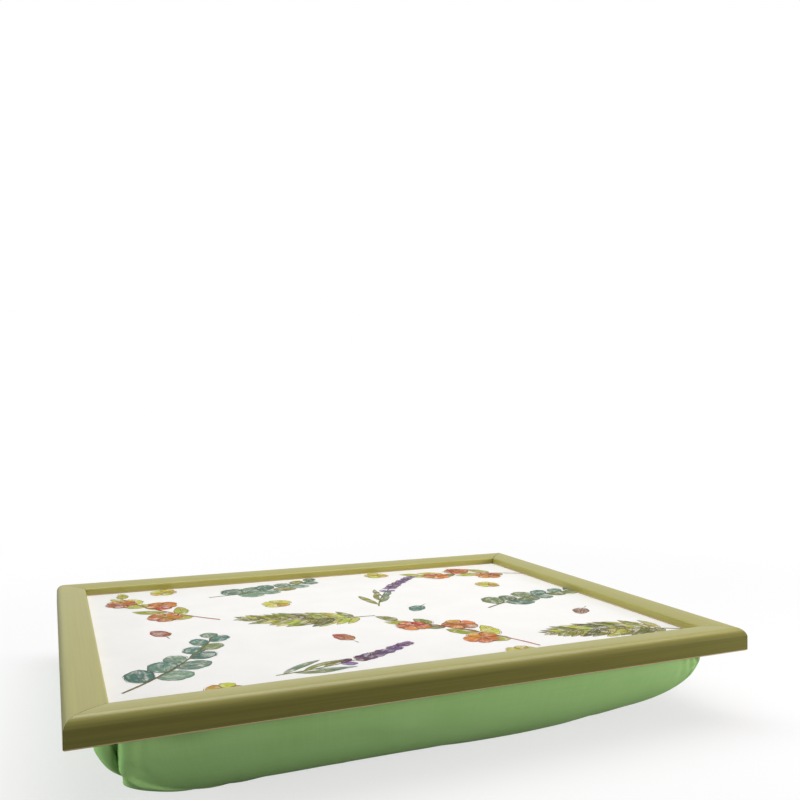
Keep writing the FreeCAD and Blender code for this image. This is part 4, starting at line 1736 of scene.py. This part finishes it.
def stand(side: Array, up: Array, back: Array, place: Sequence[float]) -> Matrix:
    """World matrix of a camera or lamp.

    Args:
        side: Its X axis.
        up: Its Y axis.
        back: Its Z axis, away from what it faces.
        place: Where it stands.

    Returns:
        The matrix.
    """
    matrix = np.eye(4)
    matrix[:3] = np.stack([side, up, back, place], axis=1)
    return Matrix(matrix.tolist())


@dataclass(frozen=True)
class Softbox:
    """A soft rectangular light that faces the tray.

    Attributes:
        name: The light's name.
        place: Where it hangs.
        size: Its width and height.
        power: Watts.
        mirrored: Whether glossy faces show it.
        tint: Its colour.
    """

    name: str
    place: tuple[float, float, float]
    size: tuple[float, float]
    power: float
    mirrored: bool = False
    tint: tuple[float, float, float] = (1.0, 1.0, 1.0)

    def hang(self, aim: Sequence[float]) -> None:
        """Hang the light so that it faces a point."""
        data = bpy.data.lights.new(self.name, "AREA")
        data.shape = "RECTANGLE"
        data.size, data.size_y = self.size
        data.energy = self.power
        data.color = self.tint
        lamp = bpy.data.objects.new(self.name, data)
        back = np.array(self.place) - np.array(aim)
        back /= np.linalg.norm(back)
        side = np.cross([0.0, 0.0, 1.0], back)
        side /= np.linalg.norm(side)
        lamp.matrix_world = stand(side, np.cross(back, side), back, self.place)
        lamp.visible_glossy = self.mirrored
        bpy.context.scene.collection.objects.link(lamp)


@dataclass
class Studio:
    """Pale floor, soft lights and the camera of the photograph's low view."""

    camera_place: tuple[float, float, float] = (-0.2222, -0.5823, 0.2054)
    azimuth: float = 23.27
    elevation: float = 0.91
    roll: float = 0.2
    focal_pixels: float = 815.1
    frame_pixels: float = 800.0
    sensor: float = 36.0
    clip_start: float = 0.01
    floor_size: float = 12.0
    shadow_reach: tuple[float, float] = (0.3, 0.8)
    least_glow: float = 0.66
    ambient: float = 0.1
    bounce: Colour = swatch(156, 156, 152)
    floor_mirror: float = 0.22
    sky_mirror: float = 0.82
    floor_white: Colour = (0.86, 0.86, 0.86, 1.0)
    white: Colour = (1.0, 1.0, 1.0, 1.0)
    aim: tuple[float, float, float] = (0.0, 0.0, 0.04)
    softboxes: tuple[Softbox, ...] = (
        Softbox("top_softbox", (0.2, 0.25, 1.2), (2.2, 0.7), 19.0, mirrored=True),
        Softbox("front_softbox", (0.75, -0.7, 0.2), (0.5, 0.25), 6.9, tint=(1.0, 0.88, 0.92)),
        Softbox("left_softbox", (-1.15, -0.1, 0.14), (0.6, 0.2), 7.2),
        Softbox("back_softbox", (-0.1, 1.15, 0.15), (1.2, 0.16), 4.5),
    )

    def seen(self, shader: Shader, mirror: float) -> Socket:
        """How far a ray sees the white studio: fully from the camera and through clear things, and by the
        share that mirror gives in reflections.
        """
        path = shader.node("ShaderNodeLightPath")
        mirrored = path.sibling("Is Glossy Ray") * mirror
        return path.larger(mirrored).larger(path.sibling("Is Transmission Ray"))

    def camera(self) -> None:
        """Place the camera by its direction, level but for a slight roll."""
        azimuth, elevation, roll = map(math.radians, (self.azimuth, self.elevation, self.roll))
        level = np.array([math.cos(azimuth), -math.sin(azimuth), 0.0])
        ahead = np.array([math.sin(azimuth), math.cos(azimuth), 0.0])
        forward = ahead * math.cos(elevation) + np.array([0.0, 0.0, math.sin(elevation)])
        upright = np.cross(level, forward)
        right = level * math.cos(roll) + upright * math.sin(roll)
        up = upright * math.cos(roll) - level * math.sin(roll)
        data = bpy.data.cameras.new("photo_camera")
        data.sensor_width = self.sensor
        data.lens = self.focal_pixels * self.sensor / self.frame_pixels
        data.clip_start = self.clip_start
        camera = bpy.data.objects.new("photo_camera", data)
        camera.matrix_world = stand(right, up, -forward, self.camera_place)
        bpy.context.scene.collection.objects.link(camera)
        bpy.context.scene.camera = camera

    def floor(self) -> None:
        """A wide floor: it keeps the shadow near the tray and is plain white further off."""
        half = self.floor_size / 2
        corners = np.array([[-half, -half, 0], [half, -half, 0], [half, half, 0], [-half, half, 0]])
        floor = new_piece("studio_floor", corners, [[0, 1, 2, 3]])
        material = bpy.data.materials.new("studio_floor")
        material.use_nodes = True
        shader = Shader(material.node_tree)
        seen = self.seen(shader, self.floor_mirror)
        distance = shader.node("ShaderNodeVectorMath", {0: shader.place()}, "Value", operation="LENGTH")
        colour = shader.mix(seen, self.bounce, self.floor_white)
        lit = shader.node("ShaderNodeBsdfDiffuse", {"Color": colour})
        glow = shader.node("ShaderNodeEmission", {"Color": self.white, "Strength": seen})
        far = distance.rise(*self.shadow_reach, self.least_glow, 1.0) * seen
        both = shader.node("ShaderNodeMixShader", {0: far, 1: lit, 2: glow})
        shader.node("ShaderNodeOutputMaterial", {"Surface": both})
        floor.data.materials.append(material)

    def world(self) -> None:
        """White for the camera and for reflections, dim for everything else."""
        world = bpy.data.worlds.new("studio")
        bpy.context.scene.world = world
        world.use_nodes = True
        shader = Shader(world.node_tree)
        strength = self.seen(shader, self.sky_mirror).larger(self.ambient)
        light = shader.node("ShaderNodeBackground", {"Color": self.white, "Strength": strength})
        shader.node("ShaderNodeOutputWorld", {"Surface": light})

    def build(self) -> None:
        """Set up the studio."""
        bpy.context.scene.view_settings.view_transform = "Standard"
        self.camera()
        self.floor()
        self.world()
        for softbox in self.softboxes:
            softbox.hang(self.aim)


def main() -> None:
    """Build the studio and the tray."""
    logging.basicConfig(level=logging.INFO, format="%(name)s: %(message)s")
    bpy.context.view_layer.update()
    Studio().build()
    MouldingFrame().build()
    BotanicalPrint().build()
    BeadCushion().build()
    HiddenParts().build()


if __name__ == "__main__":
    main()
